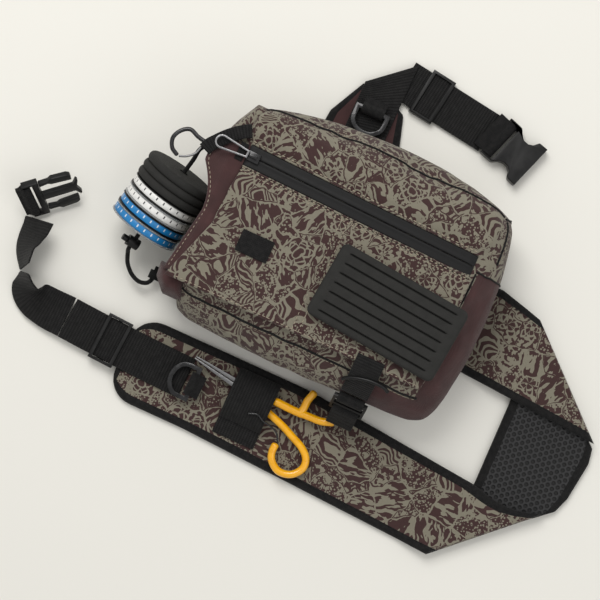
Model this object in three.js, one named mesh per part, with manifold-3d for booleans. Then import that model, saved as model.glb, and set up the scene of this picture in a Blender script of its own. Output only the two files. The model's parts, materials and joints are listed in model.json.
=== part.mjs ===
// A fishing sling bag lying on its back: hollow body with a coated zipper, one padded shoulder
// strap folded twice on the table, a waist belt with a side release buckle, and the gear it
// carries (tippet spools on a cord, rigging foam, forceps, fly patch).
//
// Millimetres, +Z up. X runs along the body, Y towards the body's upper edge, and Z = 0 is the
// surface that the bag lies on.
import * as THREE from 'three';
import { mergeVertices } from 'three/addons/utils/BufferGeometryUtils.js';
import Module from 'manifold-3d';

const wasm = await Module();
wasm.setup();

// ---------------------------------------------------------------- driving dimensions
const CENTRE = { x: -6.5, y: -3.4 }; // middle of the footprint, which becomes the origin
const GAP = 0.3; // clearance between pieces that touch
const WALL = 3; // padded fabric of the body
const BODY_Z = 8.3; // underside of the shell, on top of the back panel
const FRONT_Z = 88; // height of the front face
const ZIP = { left: -113, right: 104, yLeft: 48.3, yRight: 41, width: 19.5 };
const WEBBING = { width: 38, thick: 1.8 };
const STRAP = { thick: 6.5, low: 0, high: 6.8 };
const RING = { width: 33, depth: 25, wire: 4 }; // D-rings for 25 mm webbing
const LOOP = { bore: 3.2, wall: 1.6 }; // webbing loops that hold a 4 mm bar
const BUCKLE = { width: 42, thick: 11 };
const PATCH = { x: 51.8, y: -25.2, width: 122, height: 68, thick: 8, turn: -5.5 };
const STACK = { x: -165.5, y: -13, z: 39.2, yaw: 13, lean: 12 }; // spools strung on their cord
const SPOOL = { radius: 33, width: 9.2, pitch: 9.6, bore: 4.5 };
const FOAM = { radius: 34, width: 23 };
const FORCEPS = { x: -31, y: -136.5, z: 10.5, turn: -8.6, plate: 2.2 };

const DEGREE = Math.PI / 180;

// ---------------------------------------------------------------- materials
const finish = (color, roughness, metalness = 0) =>
  new THREE.MeshStandardMaterial({ color, roughness, metalness });
const printedCloth = finish(0x857b68, 0.9);
const maroonCloth = finish(0x44292b, 0.85);
const blackWebbing = finish(0x161616, 0.8);
const meshCloth = finish(0x1b1b1c, 0.75);
const coatedTape = finish(0x2b2c2c, 0.55);
const blackPlastic = finish(0x121314, 0.4);
const blackMetal = finish(0x1a1a1c, 0.35, 0.8);
const steel = finish(0xb9babb, 0.3, 1);
const darkFoam = finish(0x343431, 0.85);
const yellowGrip = finish(0xf2ab00, 0.45);
const whiteBand = finish(0xe8e8e4, 0.6);
const blueBand = finish(0x1487c4, 0.6);
const clearPlastic = finish(0xaeb4b6, 0.15);

const bag = new THREE.Group();

function add(name, geometry, material, parent = bag) {
  const mesh = new THREE.Mesh(outward(geometry), material);
  mesh.name = name;
  parent.add(mesh);
  return mesh;
}

// ---------------------------------------------------------------- shape helpers
// A closed mesh with its faces turned outward.
function outward(geometry) {
  const bare = geometry.clone();
  bare.deleteAttribute('normal');
  bare.deleteAttribute('uv');
  const solid = mergeVertices(bare, 1e-4);
  const at = solid.attributes.position;
  const index = solid.index.array;
  const [a, b, c] = [new THREE.Vector3(), new THREE.Vector3(), new THREE.Vector3()];
  let volume = 0;
  for (let i = 0; i < index.length; i += 3) {
    a.fromBufferAttribute(at, index[i]);
    b.fromBufferAttribute(at, index[i + 1]);
    c.fromBufferAttribute(at, index[i + 2]);
    volume += a.dot(b.cross(c));
  }
  if (volume < 0) {
    for (let i = 0; i < index.length; i += 3) {
      [index[i], index[i + 1]] = [index[i + 1], index[i]];
    }
  }
  solid.computeVertexNormals();
  return solid;
}

function toManifold(geometry) {
  const solid = outward(geometry);
  return new wasm.Manifold(new wasm.Mesh({
    numProp: 3,
    vertProperties: new Float32Array(solid.attributes.position.array),
    triVerts: new Uint32Array(solid.index.array),
  }));
}

function fromManifold(solid) {
  const mesh = solid.getMesh();
  const geometry = new THREE.BufferGeometry();
  geometry.setAttribute('position', new THREE.BufferAttribute(mesh.vertProperties, 3));
  geometry.setIndex(new THREE.BufferAttribute(mesh.triVerts, 1));
  return geometry;
}

const join = (...parts) => fromManifold(parts.map(toManifold).reduce((a, b) => a.add(b)));
const cut = (body, ...tools) =>
  fromManifold(tools.map(toManifold).reduce((a, b) => a.subtract(b), toManifold(body)));

// A box whose corners (each from -1 to 1) are moved to where place() says.
function formed(nx, ny, nz, place) {
  const geometry = new THREE.BoxGeometry(2, 2, 2, nx, ny, nz);
  const at = geometry.attributes.position;
  for (let i = 0; i < at.count; i += 1) {
    at.setXYZ(i, ...place(at.getX(i), at.getY(i), at.getZ(i)));
  }
  return geometry;
}

function block(x0, x1, y0, y1, z0, z1) {
  const geometry = new THREE.BoxGeometry(x1 - x0, y1 - y0, z1 - z0);
  return geometry.translate((x0 + x1) / 2, (y0 + y1) / 2, (z0 + z1) / 2);
}

const outline = (points) => new THREE.Shape(points.map(([x, y]) => new THREE.Vector2(x, y)));

function plate(shape, z0, z1, segments = 8) {
  const options = { depth: z1 - z0, bevelEnabled: false, curveSegments: segments };
  return new THREE.ExtrudeGeometry(shape, options).translate(0, 0, z0);
}

function roundedRectangle(width, height, radius) {
  const shape = new THREE.Shape();
  const [x, y] = [width / 2 - radius, height / 2 - radius];
  shape.absarc(x, y, radius, 0, Math.PI / 2);
  shape.absarc(-x, y, radius, Math.PI / 2, Math.PI);
  shape.absarc(-x, -y, radius, Math.PI, 1.5 * Math.PI);
  shape.absarc(x, -y, radius, 1.5 * Math.PI, 2 * Math.PI);
  return shape;
}

// A flat band along a smooth line, level across its width unless roll (degrees) tips it.
function ribbon(points, width, thick, steps, roll = () => 0) {
  const line = new THREE.CatmullRomCurve3(points.map((p) => new THREE.Vector3(...p)), false, 'centripetal');
  const up = new THREE.Vector3(0, 0, 1);
  return formed(steps, 1, 1, (u, v, w) => {
    const t = (u + 1) / 2;
    const along = line.getTangentAt(t);
    const across = up.clone().cross(along).normalize();
    across.applyAxisAngle(along, roll(t) * DEGREE);
    const normal = along.clone().cross(across);
    const at = line.getPointAt(t);
    at.addScaledVector(across, (v * width) / 2).addScaledVector(normal, (w * thick) / 2);
    return at.toArray();
  });
}

// Evenly spaced values joined by straight stretches, as a function of t from 0 to 1.
const through = (...values) => (t) => {
  const place = t * (values.length - 1);
  const start = Math.min(Math.floor(place), values.length - 2);
  return values[start] + (values[start + 1] - values[start]) * (place - start);
};

function roundBar(points, radius, steps) {
  const line = new THREE.CatmullRomCurve3(points.map((p) => new THREE.Vector3(...p)), false, 'centripetal');
  const section = new THREE.Shape();
  section.absarc(0, 0, radius, 0, 2 * Math.PI);
  const options = { steps, extrudePath: line, curveSegments: 4, bevelEnabled: false };
  return new THREE.ExtrudeGeometry(section, options);
}

function turned(profile, segments = 32) {
  return new THREE.LatheGeometry(profile.map(([r, h]) => new THREE.Vector2(r, h)), segments);
}

// ---------------------------------------------------------------- body of the bag
// Left, right, lower and upper edge of the shell at each height, and how much of the
// side bulge it has there.
const LEVELS = [
  { z: BODY_Z, left: -122, right: 122, low: -97, high: 94, bulge: 0.4 },
  { z: 16, left: -124, right: 125, low: -102, high: 98, bulge: 0.8 },
  { z: 30, left: -124.5, right: 127, low: -104, high: 100, bulge: 1 },
  { z: 46, left: -124.5, right: 127, low: -103, high: 100, bulge: 1 },
  { z: 62, left: -124.5, right: 125, low: -96, high: 99, bulge: 1 },
  { z: 77, left: -124.5, right: 119, low: -84, high: 97, bulge: 0.7 },
  { z: FRONT_Z, left: -123, right: 110, low: -75, high: 92, bulge: 0.3 },
];
const BULGE = { right: 8, high: 11, low: 1.5 };

function shellPoint(u, v, w, inset = 0) {
  const step = ((w + 1) / 2) * (LEVELS.length - 1);
  const lower = LEVELS[Math.min(Math.floor(step), LEVELS.length - 2)];
  const upper = LEVELS[Math.min(Math.floor(step) + 1, LEVELS.length - 1)];
  const part = step - Math.min(Math.floor(step), LEVELS.length - 2);
  const at = (key) => lower[key] + (upper[key] - lower[key]) * part;
  const bulge = at('bulge');
  const left = at('left') + inset;
  const right = at('right') + BULGE.right * bulge * (1 - v * v) - inset;
  const low = at('low') - BULGE.low * bulge * (1 - u * u) + inset;
  const high = at('high') + BULGE.high * bulge * (1 - u * u) - inset;
  const corner = 1 - 0.045 * u * u * v * v;
  const x = (left + right) / 2 + (corner * u * (right - left)) / 2;
  const y = (low + high) / 2 + (corner * v * (high - low)) / 2;
  const squeeze = (FRONT_Z - BODY_Z - 2 * inset) / (FRONT_Z - BODY_Z);
  return [x, y, BODY_Z + inset + (at('z') - BODY_Z) * squeeze];
}

const zipSlope = Math.atan2(ZIP.yRight - ZIP.yLeft, ZIP.right - ZIP.left);
const zipMiddle = { x: (ZIP.left + ZIP.right) / 2, y: (ZIP.yLeft + ZIP.yRight) / 2 };
const zipLength = Math.hypot(ZIP.right - ZIP.left, ZIP.yRight - ZIP.yLeft);
const ontoZip = (geometry) => geometry.rotateZ(zipSlope).translate(zipMiddle.x, zipMiddle.y, 0);

function buildBody() {
  const outer = formed(12, 10, 6, (u, v, w) => shellPoint(u, v, w));
  const inner = formed(12, 10, 6, (u, v, w) => shellPoint(u, v, w, WALL));
  const half = zipLength / 2;
  const slot = ontoZip(block(-half, half, -ZIP.width / 2, ZIP.width / 2, FRONT_Z - 8, FRONT_Z + 8));
  add('main_shell', cut(outer, inner, slot), printedCloth);

  const back = roundedRectangle(244, 190, 14);
  add('back_panel', plate(back, 0, BODY_Z - GAP, 4).translate(0, -1.5, 0), meshCloth);

  const front = outline([
    [-119, 36.4], [105, 28.9], [106, -70], [90, -73.5], [-104, -73.5], [-119, -66],
  ]);
  add('front_pocket_panel', plate(front, FRONT_Z + GAP, FRONT_Z + 3), printedCloth);

  // Burgundy panel sewn over the right end, on the shell's own facets.
  add('right_gusset', formed(1, 7, 5, (u, v, w) => {
    const [x, y, z] = shellPoint(1, -0.1 + 0.7 * v, 1 / 6 + (5 / 6) * w);
    return [x + 2 * GAP + (u + 1) * 0.8, y, z];
  }), maroonCloth);

  addSidePocket();
  addZipper();

  const logoZ = FRONT_Z + 3 + GAP;
  add('logo_patch', plate(roundedRectangle(29, 19.5, 1), logoZ, logoZ + 1.2, 2)
    .translate(-73.4, -20.4, 0), blackWebbing);
}

// Pocket on the left end, open towards -X, roofed by the flap of the front panel.
function addSidePocket() {
  const inner = -124.5 - GAP;
  // Outer edge of the flap, which is widest at its upper end.
  const hem = (y) => (y > -10 ? -128 - 16.5 * Math.min(1, ((y + 10) / 41) ** 2) : -128 + (y + 10) / 6);
  const roof = formed(2, 12, 1, (u, v, w) => {
    const y = -13 + 69 * v;
    const part = (u + 1) / 2;
    const x = hem(y) + (inner - hem(y)) * part;
    const rim = FRONT_Z - 0.45 * (inner - x);
    return [x, y, rim - 1.3 + 1.3 * w];
  });
  const upperWall = plate(outline([
    [inner, 49], [inner, 93], [-130, 96], [-137, 90], [-144, 56], [-144, 49],
  ]), BODY_Z, 78);
  const lowerWall = plate(outline([
    [inner, -88], [inner, -64], [-144, -64], [-142, -77], [-134, -88],
  ]), BODY_Z, 80);
  add('side_pocket', join(roof, upperWall, lowerWall), maroonCloth);
}

function addZipper() {
  const half = zipLength / 2 - GAP;
  const edge = ZIP.width / 2 - GAP;
  const tape = (y0, y1) => ontoZip(block(-half, half, y0, y1, FRONT_Z - 1.8, FRONT_Z - GAP));
  add('zipper_tape_upper', tape(0.25, edge), coatedTape);
  add('zipper_tape_lower', tape(-edge, -0.25), coatedTape);
  add('zipper_end_tab', ontoZip(block(-half - 8, -half - 0.6, -8, 8, FRONT_Z + GAP, FRONT_Z + 1.6)),
    blackWebbing);

  // Slider parked at the left end, and its wire pull lying past the end of the zipper.
  const slider = join(
    block(-5.5, 5.5, -4.4, 4.4, 0, 2.2),
    block(-3, 3, -1.4, 1.4, 2, 4.6),
    block(-4.1, -2.4, -1.4, 1.4, 2, 4.6),
  );
  const at = -half + 7;
  add('zip_slider', ontoZip(slider.translate(at, 0, FRONT_Z + 0.2)), blackMetal);
  const loop = new THREE.Shape();
  loop.absarc(-24, 0, 6.2, Math.PI / 2, 1.5 * Math.PI);
  loop.lineTo(-1, -3.6);
  loop.lineTo(1, -3.6);
  loop.lineTo(1, 3.6);
  loop.lineTo(-1, 3.6);
  const hole = new THREE.Path();
  hole.absarc(-24, 0, 4.4, 1.5 * Math.PI, Math.PI / 2, true);
  hole.lineTo(-0.9, 1.9);
  hole.lineTo(-0.9, -1.9);
  loop.holes.push(hole);
  const wire = plate(loop, -0.9, 0.9, 4);
  add('zip_pull', ontoZip(wire.translate(at - 5.8, 0, FRONT_Z + 3.9)), steel);
}

// ---------------------------------------------------------------- straps
function buildShoulderStrap() {
  const { thick, low, high } = STRAP;
  const slab = (points, z) => plate(outline(points), z, z + thick - GAP);

  // From the body to the first fold, rising onto the length that runs back beneath it.
  const rise = (x) => Math.min(1, Math.max(0, (x - 140) / 28));
  const upperEdge = (x) => (x < 142 ? 40.5 : 40.5 - (x - 142) * 0.28);
  const lowerEdge = (x) => -42 - Math.max(0, x - 133) * 0.07;
  const foldX = (v) => 229 - 47 * v; // first fold, from its upper end (v = 1) to its lower end
  add('strap_upper', formed(10, 2, 1, (u, v, w) => {
    const x = 137.5 + (foldX(v) - 137.5) * ((u + 1) / 2);
    const y = (upperEdge(x) + lowerEdge(x)) / 2 + (v * (upperEdge(x) - lowerEdge(x))) / 2;
    return [x, y, low + high * rise(x) + ((thick - GAP) * (w + 1)) / 2];
  }), printedCloth);

  add('strap_middle', slab([
    [182, 27], [277, -57], [277, -68], [266, -122], [175, -201], [189, -129], [188, -50],
  ], low), meshCloth);

  const ramp = (x) => Math.min(1, Math.max(0, (x - 143) / 28));
  const top = (x) => (x > 190 ? -129 - 9 * Math.sin(((x - 190) / 76) * Math.PI) + (x - 190) * 0.09
    : -113.5 - Math.max(0, x - 20) * 0.09);
  const bottom = (x) => -191.5 - Math.max(0, x + 70) * 0.046;
  const end = (v) => -146 + 16 * v * v * v * v; // rounded free end
  const foldTwo = (v) => 220.5 + 45.5 * v;
  add('strap_lower', formed(14, 4, 1, (u, v, w) => {
    const x = end(v) + (foldTwo(v) - end(v)) * ((u + 1) / 2);
    const y = (top(x) + bottom(x)) / 2 + (v * (top(x) - bottom(x))) / 2;
    return [x, y, low + high * ramp(x) + ((thick - GAP) * (w + 1)) / 2];
  }), printedCloth);
}

const WING_Z = 5; // thickness of the padded wing
function buildWing() {
  add('strap_wing', plate(outline([
    [-70, 95.5], [8, 95.5], [5.3, 114], [-5, 147], [-13.5, 151], [-14.5, 160], [-50, 158.8], [-67, 124.6],
  ]), 0, WING_Z), maroonCloth);
  const z = WING_Z + GAP;
  add('wing_webbing', plate(outline([
    [-49, 112], [-11, 112], [-11, 193.5], [-49, 160.5],
  ]), z, z + WEBBING.thick), blackWebbing);
}

// Belt webbing that comes out beneath the wing's fold and runs to the socket of the buckle.
const BELT = { x: -22, y: 177.5, z: 2.6, turn: -8, length: 95 };
const onBelt = (geometry) => geometry.rotateZ(BELT.turn * DEGREE).translate(BELT.x, BELT.y, BELT.z);

// Adjuster whose outer bars cross above the webbing and whose middle bar crosses below it.
// The webbing runs along X with its underside at z = 0.
function triglide() {
  const half = WEBBING.width / 2;
  const over = WEBBING.thick + GAP;
  const rail = (side) => block(-11.6, 11.6, side < 0 ? -half - 2.8 : half + 0.4,
    side < 0 ? -half - 0.4 : half + 2.8, -2.2, over + 2.2);
  return join(
    rail(-1), rail(1),
    block(-11.6, -8.6, -half - 1, half + 1, over, over + 2.2),
    block(8.6, 11.6, -half - 1, half + 1, over, over + 2.2),
    block(-2, 2, -half - 1, half + 1, -2.2, -GAP),
  );
}

// Webbing folded round a bar that lies along Y at the origin, with its tail towards -X.
function barLoop(width, tail, low = -1.6, high = 1.6) {
  const outer = LOOP.bore + LOOP.wall;
  const eye = new THREE.Shape();
  const angle = 35 * DEGREE;
  eye.absarc(0, 0, outer, -Math.PI + angle, Math.PI - angle);
  eye.lineTo(-outer - 1, high);
  eye.lineTo(-tail, high);
  eye.lineTo(-tail, low);
  eye.lineTo(-outer - 1, low);
  const bore = new THREE.Path();
  bore.absarc(0, 0, LOOP.bore, 0, 2 * Math.PI, true);
  eye.holes.push(bore);
  const options = { depth: width, bevelEnabled: false, curveSegments: 7 };
  return new THREE.ExtrudeGeometry(eye, options).translate(0, 0, -width / 2).rotateX(Math.PI / 2);
}

// D-ring with its bar along Y at the origin and its bow towards +X.
function dRing() {
  const { width, depth, wire } = RING;
  const bow = (inset) => {
    const half = width / 2 - inset;
    const reach = depth - wire / 2 - inset;
    const points = [];
    for (let i = 0; i <= 12; i += 1) {
      const a = -Math.PI / 2 + (Math.PI * i) / 12;
      points.push(new THREE.Vector2(reach - half + 3 + (half - 3) * Math.cos(a), half * Math.sin(a)));
    }
    points.push(new THREE.Vector2(inset - wire / 2, half), new THREE.Vector2(inset - wire / 2, -half));
    return points;
  };
  const ring = new THREE.Shape(bow(0));
  ring.holes.push(new THREE.Path(bow(wire).reverse()));
  return plate(ring, -wire / 2, wire / 2);
}

function buildBelt() {
  const { thick, width } = WEBBING;
  add('belt_webbing', onBelt(block(12, BELT.length, -width / 2, width / 2, 0, thick)), blackWebbing);
  add('belt_triglide', onBelt(triglide().translate(34, 0, 0)), blackPlastic);

  // Socket half of the side release buckle, hinged on its bar.
  const place = (geometry) => onBelt(geometry.rotateZ(-11 * DEGREE)
    .translate(BELT.length + 11, 0, BUCKLE.thick / 2 - BELT.z));
  const side = [
    [-10, 20.5], [3, 20.5], [5, 19], [8, 15.5], [12.5, 13.4], [17, 13.6], [21, 16], [24, 21.5],
    [33, 22],
  ];
  const housing = outline([...side, ...side.map(([x, y]) => [x, -y]).reverse()]);
  const half = BUCKLE.thick / 2;
  const socket = cut(
    plate(housing, -half, half),
    block(-7.8 + 5.6, 0.6 + 2, -18.7, 18.7, -half - 1, half + 1),
    block(-11, -2.2, -18.7, 18.7, 2.2, half + 1),
    block(-11, -2.2, -18.7, 18.7, -half - 1, -2.2),
    block(-11, -4.2 - 2, -18.7, 18.7, -half - 1, half + 1),
    block(6, 34, -10.5, 10.5, -half + 2, half - 2),
    block(22, 34, -19.8, 19.8, -half + 2, half - 2),
  );
  add('buckle_socket', place(socket.translate(4.2, 0, 0)), blackPlastic);
  add('socket_loop', place(barLoop(36, 15, -0.7, 2.6)), blackWebbing);

  // D-ring on the wing: bar across the webbing, bow towards the body.
  const ringZ = WING_Z + 2 * GAP + thick + LOOP.bore + LOOP.wall;
  const ring = (g) => g.rotateZ(-Math.PI / 2).translate(-31.5, 137.5, ringZ);
  add('wing_d_ring', ring(dRing()), blackMetal);
  add('wing_ring_loop', ring(barLoop(21, 11)), blackWebbing);
}

// Waist webbing sewn on the strap's free end. It runs to a corner, where it stands on one
// edge, and on to the buckle's plug.
const WAIST = { z: STRAP.thick + GAP, end: -203.6 };
function buildWaistBelt() {
  const { thick, width } = WEBBING;
  const middle = WAIST.z + thick / 2;
  add('waist_webbing', ribbon([
    [WAIST.end, -143.8, middle], [-180, -145.3, middle], [-157.5, -146.5, middle],
    [-130, -147.9, middle], [-84, -149.2, middle],
  ], width, thick, 20), blackWebbing);
  add('waist_triglide', triglide().rotateZ(-3 * DEGREE).translate(-160, -146.4, WAIST.z), blackPlastic);
  const ringZ = WAIST.z + thick + GAP + LOOP.bore + LOOP.wall;
  const ring = (g) => g.rotateZ(Math.PI - 2 * DEGREE).translate(-76.5, -151.5, ringZ);
  add('strap_d_ring', ring(dRing()), blackMetal);
  add('strap_ring_loop', ring(barLoop(21, 9)), blackWebbing);

  add('webbing_fold', ribbon([
    [-204.4, -143.6, middle], [-224, -142.8, 8.6], [-243, -138.6, 13], [-250.5, -131, 18],
    [-254, -122.6, 19.1],
  ], width, thick, 14, through(0, -8, -20, -46, -70)), blackWebbing);
  add('plug_webbing', ribbon([
    [-255.9, -118.4, 18.9], [-259, -111, 17.9], [-262, -102, 16.2], [-262.5, -92, 14.6], [-262, -83, 13.4],
  ], width, thick, 12, through(-70, -60, -50, -43, -38)), blackWebbing);
}

// Frame of the plug half: bar along Y at the origin, guide and prongs towards +X.
const PLUG = { x: -276.5, y: -62, z: 21, turn: 41.5, roll: 56 };
const onPlug = (geometry) => geometry.rotateX(PLUG.roll * DEGREE).rotateZ(PLUG.turn * DEGREE)
  .translate(PLUG.x, PLUG.y, PLUG.z);
function buildPlug() {
  const half = 3.6;
  const frame = join(
    block(-2, 2, -20, 20, -2, 2),
    block(-2, 9, -21, -18.7, -half, half),
    block(-2, 9, 18.7, 21, -half, half),
    block(7, 12.5, -21, 21, -half, half),
    block(12, 42, -4, 4, -2.4, 2.4),
    plate(outline([[41, -4], [45, -10], [46.5, -8], [43.5, 0], [46.5, 8], [45, 10], [41, 4]]), -2.4, 2.4),
  );
  add('buckle_plug', onPlug(frame), blackPlastic);
  const prong = (side) => plate(outline([
    [13, 14], [13, 18], [22, 18.2], [25, 20.4], [39, 19.4], [42, 17.4], [42, 12], [24, 13.5],
    [21, 15.2],
  ].map(([x, y]) => [x, y * side])), -2.8, 2.8);
  add('buckle_prong_left', onPlug(prong(1)), blackPlastic);
  add('buckle_prong_right', onPlug(prong(-1)), blackPlastic);
  add('plug_loop', onPlug(barLoop(35, 8)), blackWebbing);
}

// ---------------------------------------------------------------- gear
const onStack = (geometry) => geometry.rotateX(STACK.lean * DEGREE).rotateZ(-STACK.yaw * DEGREE)
  .translate(STACK.x, STACK.y, STACK.z);

function buildStack() {
  const { radius, width, pitch, bore } = SPOOL;
  const hub = 22;
  const rim = 1.3;
  const spool = [
    [bore, 0], [radius, 0], [radius, rim], [hub, rim], [hub, width - rim], [radius, width - rim],
    [radius, width], [bore, width], [bore, 0],
  ];
  const band = [
    [hub + GAP, rim + GAP], [radius - 1, rim + GAP], [radius - 1, width - rim - GAP],
    [hub + GAP, width - rim - GAP], [hub + GAP, rim + GAP],
  ];
  for (let i = 0; i < 4; i += 1) {
    const at = -32 + i * pitch;
    const clear = i % 2 === 0 ? clearPlastic : blackPlastic;
    add(`tippet_spool_${i + 1}`, onStack(turned(spool).translate(0, at, 0)), clear);
    const colour = i < 2 ? blueBand : whiteBand;
    add(`spool_band_${i + 1}`, onStack(turned(band).translate(0, at, 0)), colour);
  }
  const start = -32 + 4 * pitch;
  const foam = [[bore, 0]];
  const ridge = FOAM.width / 3;
  for (let i = 0; i < 3; i += 1) {
    const h = i * ridge;
    foam.push([FOAM.radius - 4, h], [FOAM.radius - 0.9, h + 1.1], [FOAM.radius, h + ridge / 2]);
    foam.push([FOAM.radius - 0.9, h + ridge - 1.1]);
  }
  foam.push([FOAM.radius - 4, FOAM.width], [bore, FOAM.width], [bore, 0]);
  add('rigging_foam', onStack(turned(foam, 36).translate(0, start, 0)), darkFoam);
}

// Cord through the stack, from the webbing tab above it to the loop below it.
const alongStack = (h) => new THREE.Vector3(0, h, 0).applyAxisAngle(new THREE.Vector3(1, 0, 0),
  STACK.lean * DEGREE).applyAxisAngle(new THREE.Vector3(0, 0, 1), -STACK.yaw * DEGREE)
  .add(new THREE.Vector3(STACK.x, STACK.y, STACK.z)).toArray();
const CORD_RADIUS = 2;
function buildCord() {
  const cord = [
    [-147, 47, 62], [-150, 43.5, 58], [-154, 38.5, 53.5], alongStack(44), alongStack(32), alongStack(10),
    alongStack(-14), alongStack(-34), alongStack(-44), alongStack(-54),
    [-177.5, -68, 22], [-174, -77.5, 16], [-166.5, -85, 14], [-157.5, -88, 14], [-150.8, -85.5, 14],
    [-148.4, -80, 14], [-148.4, -75, 14], [-148.4, -69, 14],
  ];
  add('tether_cord', roundBar(cord, CORD_RADIUS, 56), blackWebbing);

  const lock = cut(
    new THREE.CylinderGeometry(5, 5, 11, 16).rotateX(Math.PI / 2),
    new THREE.CylinderGeometry(CORD_RADIUS + 0.8, CORD_RADIUS + 0.8, 14, 12),
    new THREE.CylinderGeometry(3.3, 3.3, 6, 12).rotateX(Math.PI / 2).translate(0, 0, 5.2),
  );
  const button = new THREE.CylinderGeometry(2.9, 2.9, 6, 12).rotateX(Math.PI / 2)
    .translate(0, 0, 8);
  const at = (geometry) => onStack(geometry.rotateY(-65 * DEGREE).translate(0, -48, 0));
  add('cord_lock', at(lock), blackPlastic);
  add('cord_lock_button', at(button), blackPlastic);

  // Webbing tab at the upper corner of the bag that the clip and the cord hang from.
  add('tether_tab', ribbon([
    [-116, 68, 90.2], [-121, 65.3, 89.7], [-127, 61, 89.4], [-134, 55, 88], [-140, 48.5, 86],
    [-145, 42.5, 83.6], [-147.3, 37.5, 82.2],
  ], 12, 1.8, 12), blackWebbing);
  const low = barLoop(8, 5).rotateZ(Math.PI).translate(-148.4, -77, 14);
  add('cord_anchor_loop', low, blackWebbing);
}

// Clip on the tab: a bent rod with a sprung wire gate.
const CLIP_Z = 78.5;
function buildClip() {
  const level = ([x, y]) => [x, y, CLIP_Z];
  const hook = [[-150, 44.2], [-157, 45.6], [-166, 48.6], [-173, 44], [-176.5, 36], [-173.5, 28], [-167.5, 24.2]];
  add('gear_clip', roundBar(hook.map(level), 1.9, 20), blackMetal);
  const gate = [[-164.8, 23.9], [-159, 26.5], [-153.6, 31.5], [-151.2, 38.1]];
  add('clip_gate', roundBar(gate.map(level), 1, 10), blackMetal);
}

// Locking forceps held by the sleeve across the strap. Local +X runs from pivot to handles.
const onForceps = (geometry) => geometry.rotateZ(FORCEPS.turn * DEGREE)
  .translate(FORCEPS.x, FORCEPS.y, FORCEPS.z);
function buildForceps() {
  const { plate: thick } = FORCEPS;
  const blade = (side) => outline([
    [-54, 0.25 * side], [-54, 1.6 * side], [-30, 3.2 * side], [-8, 4.4 * side], [4, 2 * side],
    [20, -3.4 * side], [30, -4.2 * side], [30, -8 * side], [16, -7 * side], [-2, -4 * side],
    [-12, 0.25 * side],
  ]);
  // Hooked grip of the lower handle.
  const hook = roundBar([
    [27, -6], [44, -8.8], [57, -12.2], [70, -16.2], [78, -22.5], [80, -31], [74, -41], [63, -44.5],
    [53, -39.8], [49, -33], [48.2, -26.8],
  ].map(([x, y]) => [x, y, thick / 2]), 3.4, 30);
  const fork = join(
    roundBar([[27, 6], [43, 7.8], [53, 9.4]].map(([x, y]) => [x, y, thick / 2]), 3.2, 8),
    roundBar([[51, 8], [51.6, 15], [50.8, 22], [52, 31]]
      .map(([x, y]) => [x, y, thick / 2]), 3, 10),
    roundBar([[50, 9], [61, 11.2], [71, 13.4], [80, 18]]
      .map(([x, y]) => [x, y, thick / 2]), 3, 10),
  );
  const bore = new THREE.CylinderGeometry(2.2, 2.2, 12, 12).rotateX(Math.PI / 2);
  const low = cut(plate(blade(1), 0, thick), bore.clone());
  const high = cut(plate(blade(-1), 0, thick), bore.clone());
  const above = thick + GAP;
  add('forceps_arm_lower', onForceps(low), steel);
  add('forceps_grip_hook', onForceps(cut(hook, plate(blade(1), -GAP, thick + GAP))), yellowGrip);
  add('forceps_arm_upper', onForceps(high.translate(0, 0, above)), steel);
  add('forceps_grip_fork', onForceps(cut(fork.translate(0, 0, above),
    plate(blade(-1), above - GAP, above + thick + GAP))), yellowGrip);
  const screw = turned([[0, -0.9], [3, -0.9], [3, -GAP], [1.8, -GAP], [1.8, 5.0], [3, 5.0], [3, 6], [0, 6]], 16);
  add('forceps_screw', onForceps(screw.rotateX(Math.PI / 2)), steel);

  // Elastic sleeve sewn across the strap, arched over the tool.
  const floor = STRAP.thick + GAP;
  const sleeve = formed(1, 10, 1, (u, v, w) => {
    const y = -151 + 31.5 * v;
    const crown = 14.4 * Math.max(0, 1 - ((y + 143) / 24) ** 2) ** 0.6;
    return [-24 + 20 * u, y, floor + crown + 0.9 * (w + 1)];
  });
  add('tool_sleeve', sleeve, blackWebbing);
}

function buildPatch() {
  const z = FRONT_Z + 3 + GAP;
  const place = (g) => g.rotateZ(PATCH.turn * DEGREE).translate(PATCH.x, PATCH.y, 0);
  add('patch_hook_panel', place(plate(roundedRectangle(PATCH.width - 8, PATCH.height - 10, 2), z, z + 1.2, 2)
    .translate(-3, 0, 0)), blackWebbing);
  const face = plate(roundedRectangle(PATCH.width, PATCH.height, 6), z + 1.5, z + 1.5 + PATCH.thick, 4);
  const slits = [];
  for (let i = 0; i < 7; i += 1) {
    const y = -27 + 9 * i;
    slits.push(block(-PATCH.width / 2 + 9, PATCH.width / 2 - 9, y - 0.4, y + 0.4,
      z + PATCH.thick - 2.5, z + PATCH.thick + 6));
  }
  add('fly_patch', place(cut(face, ...slits)), darkFoam);
}

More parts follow.
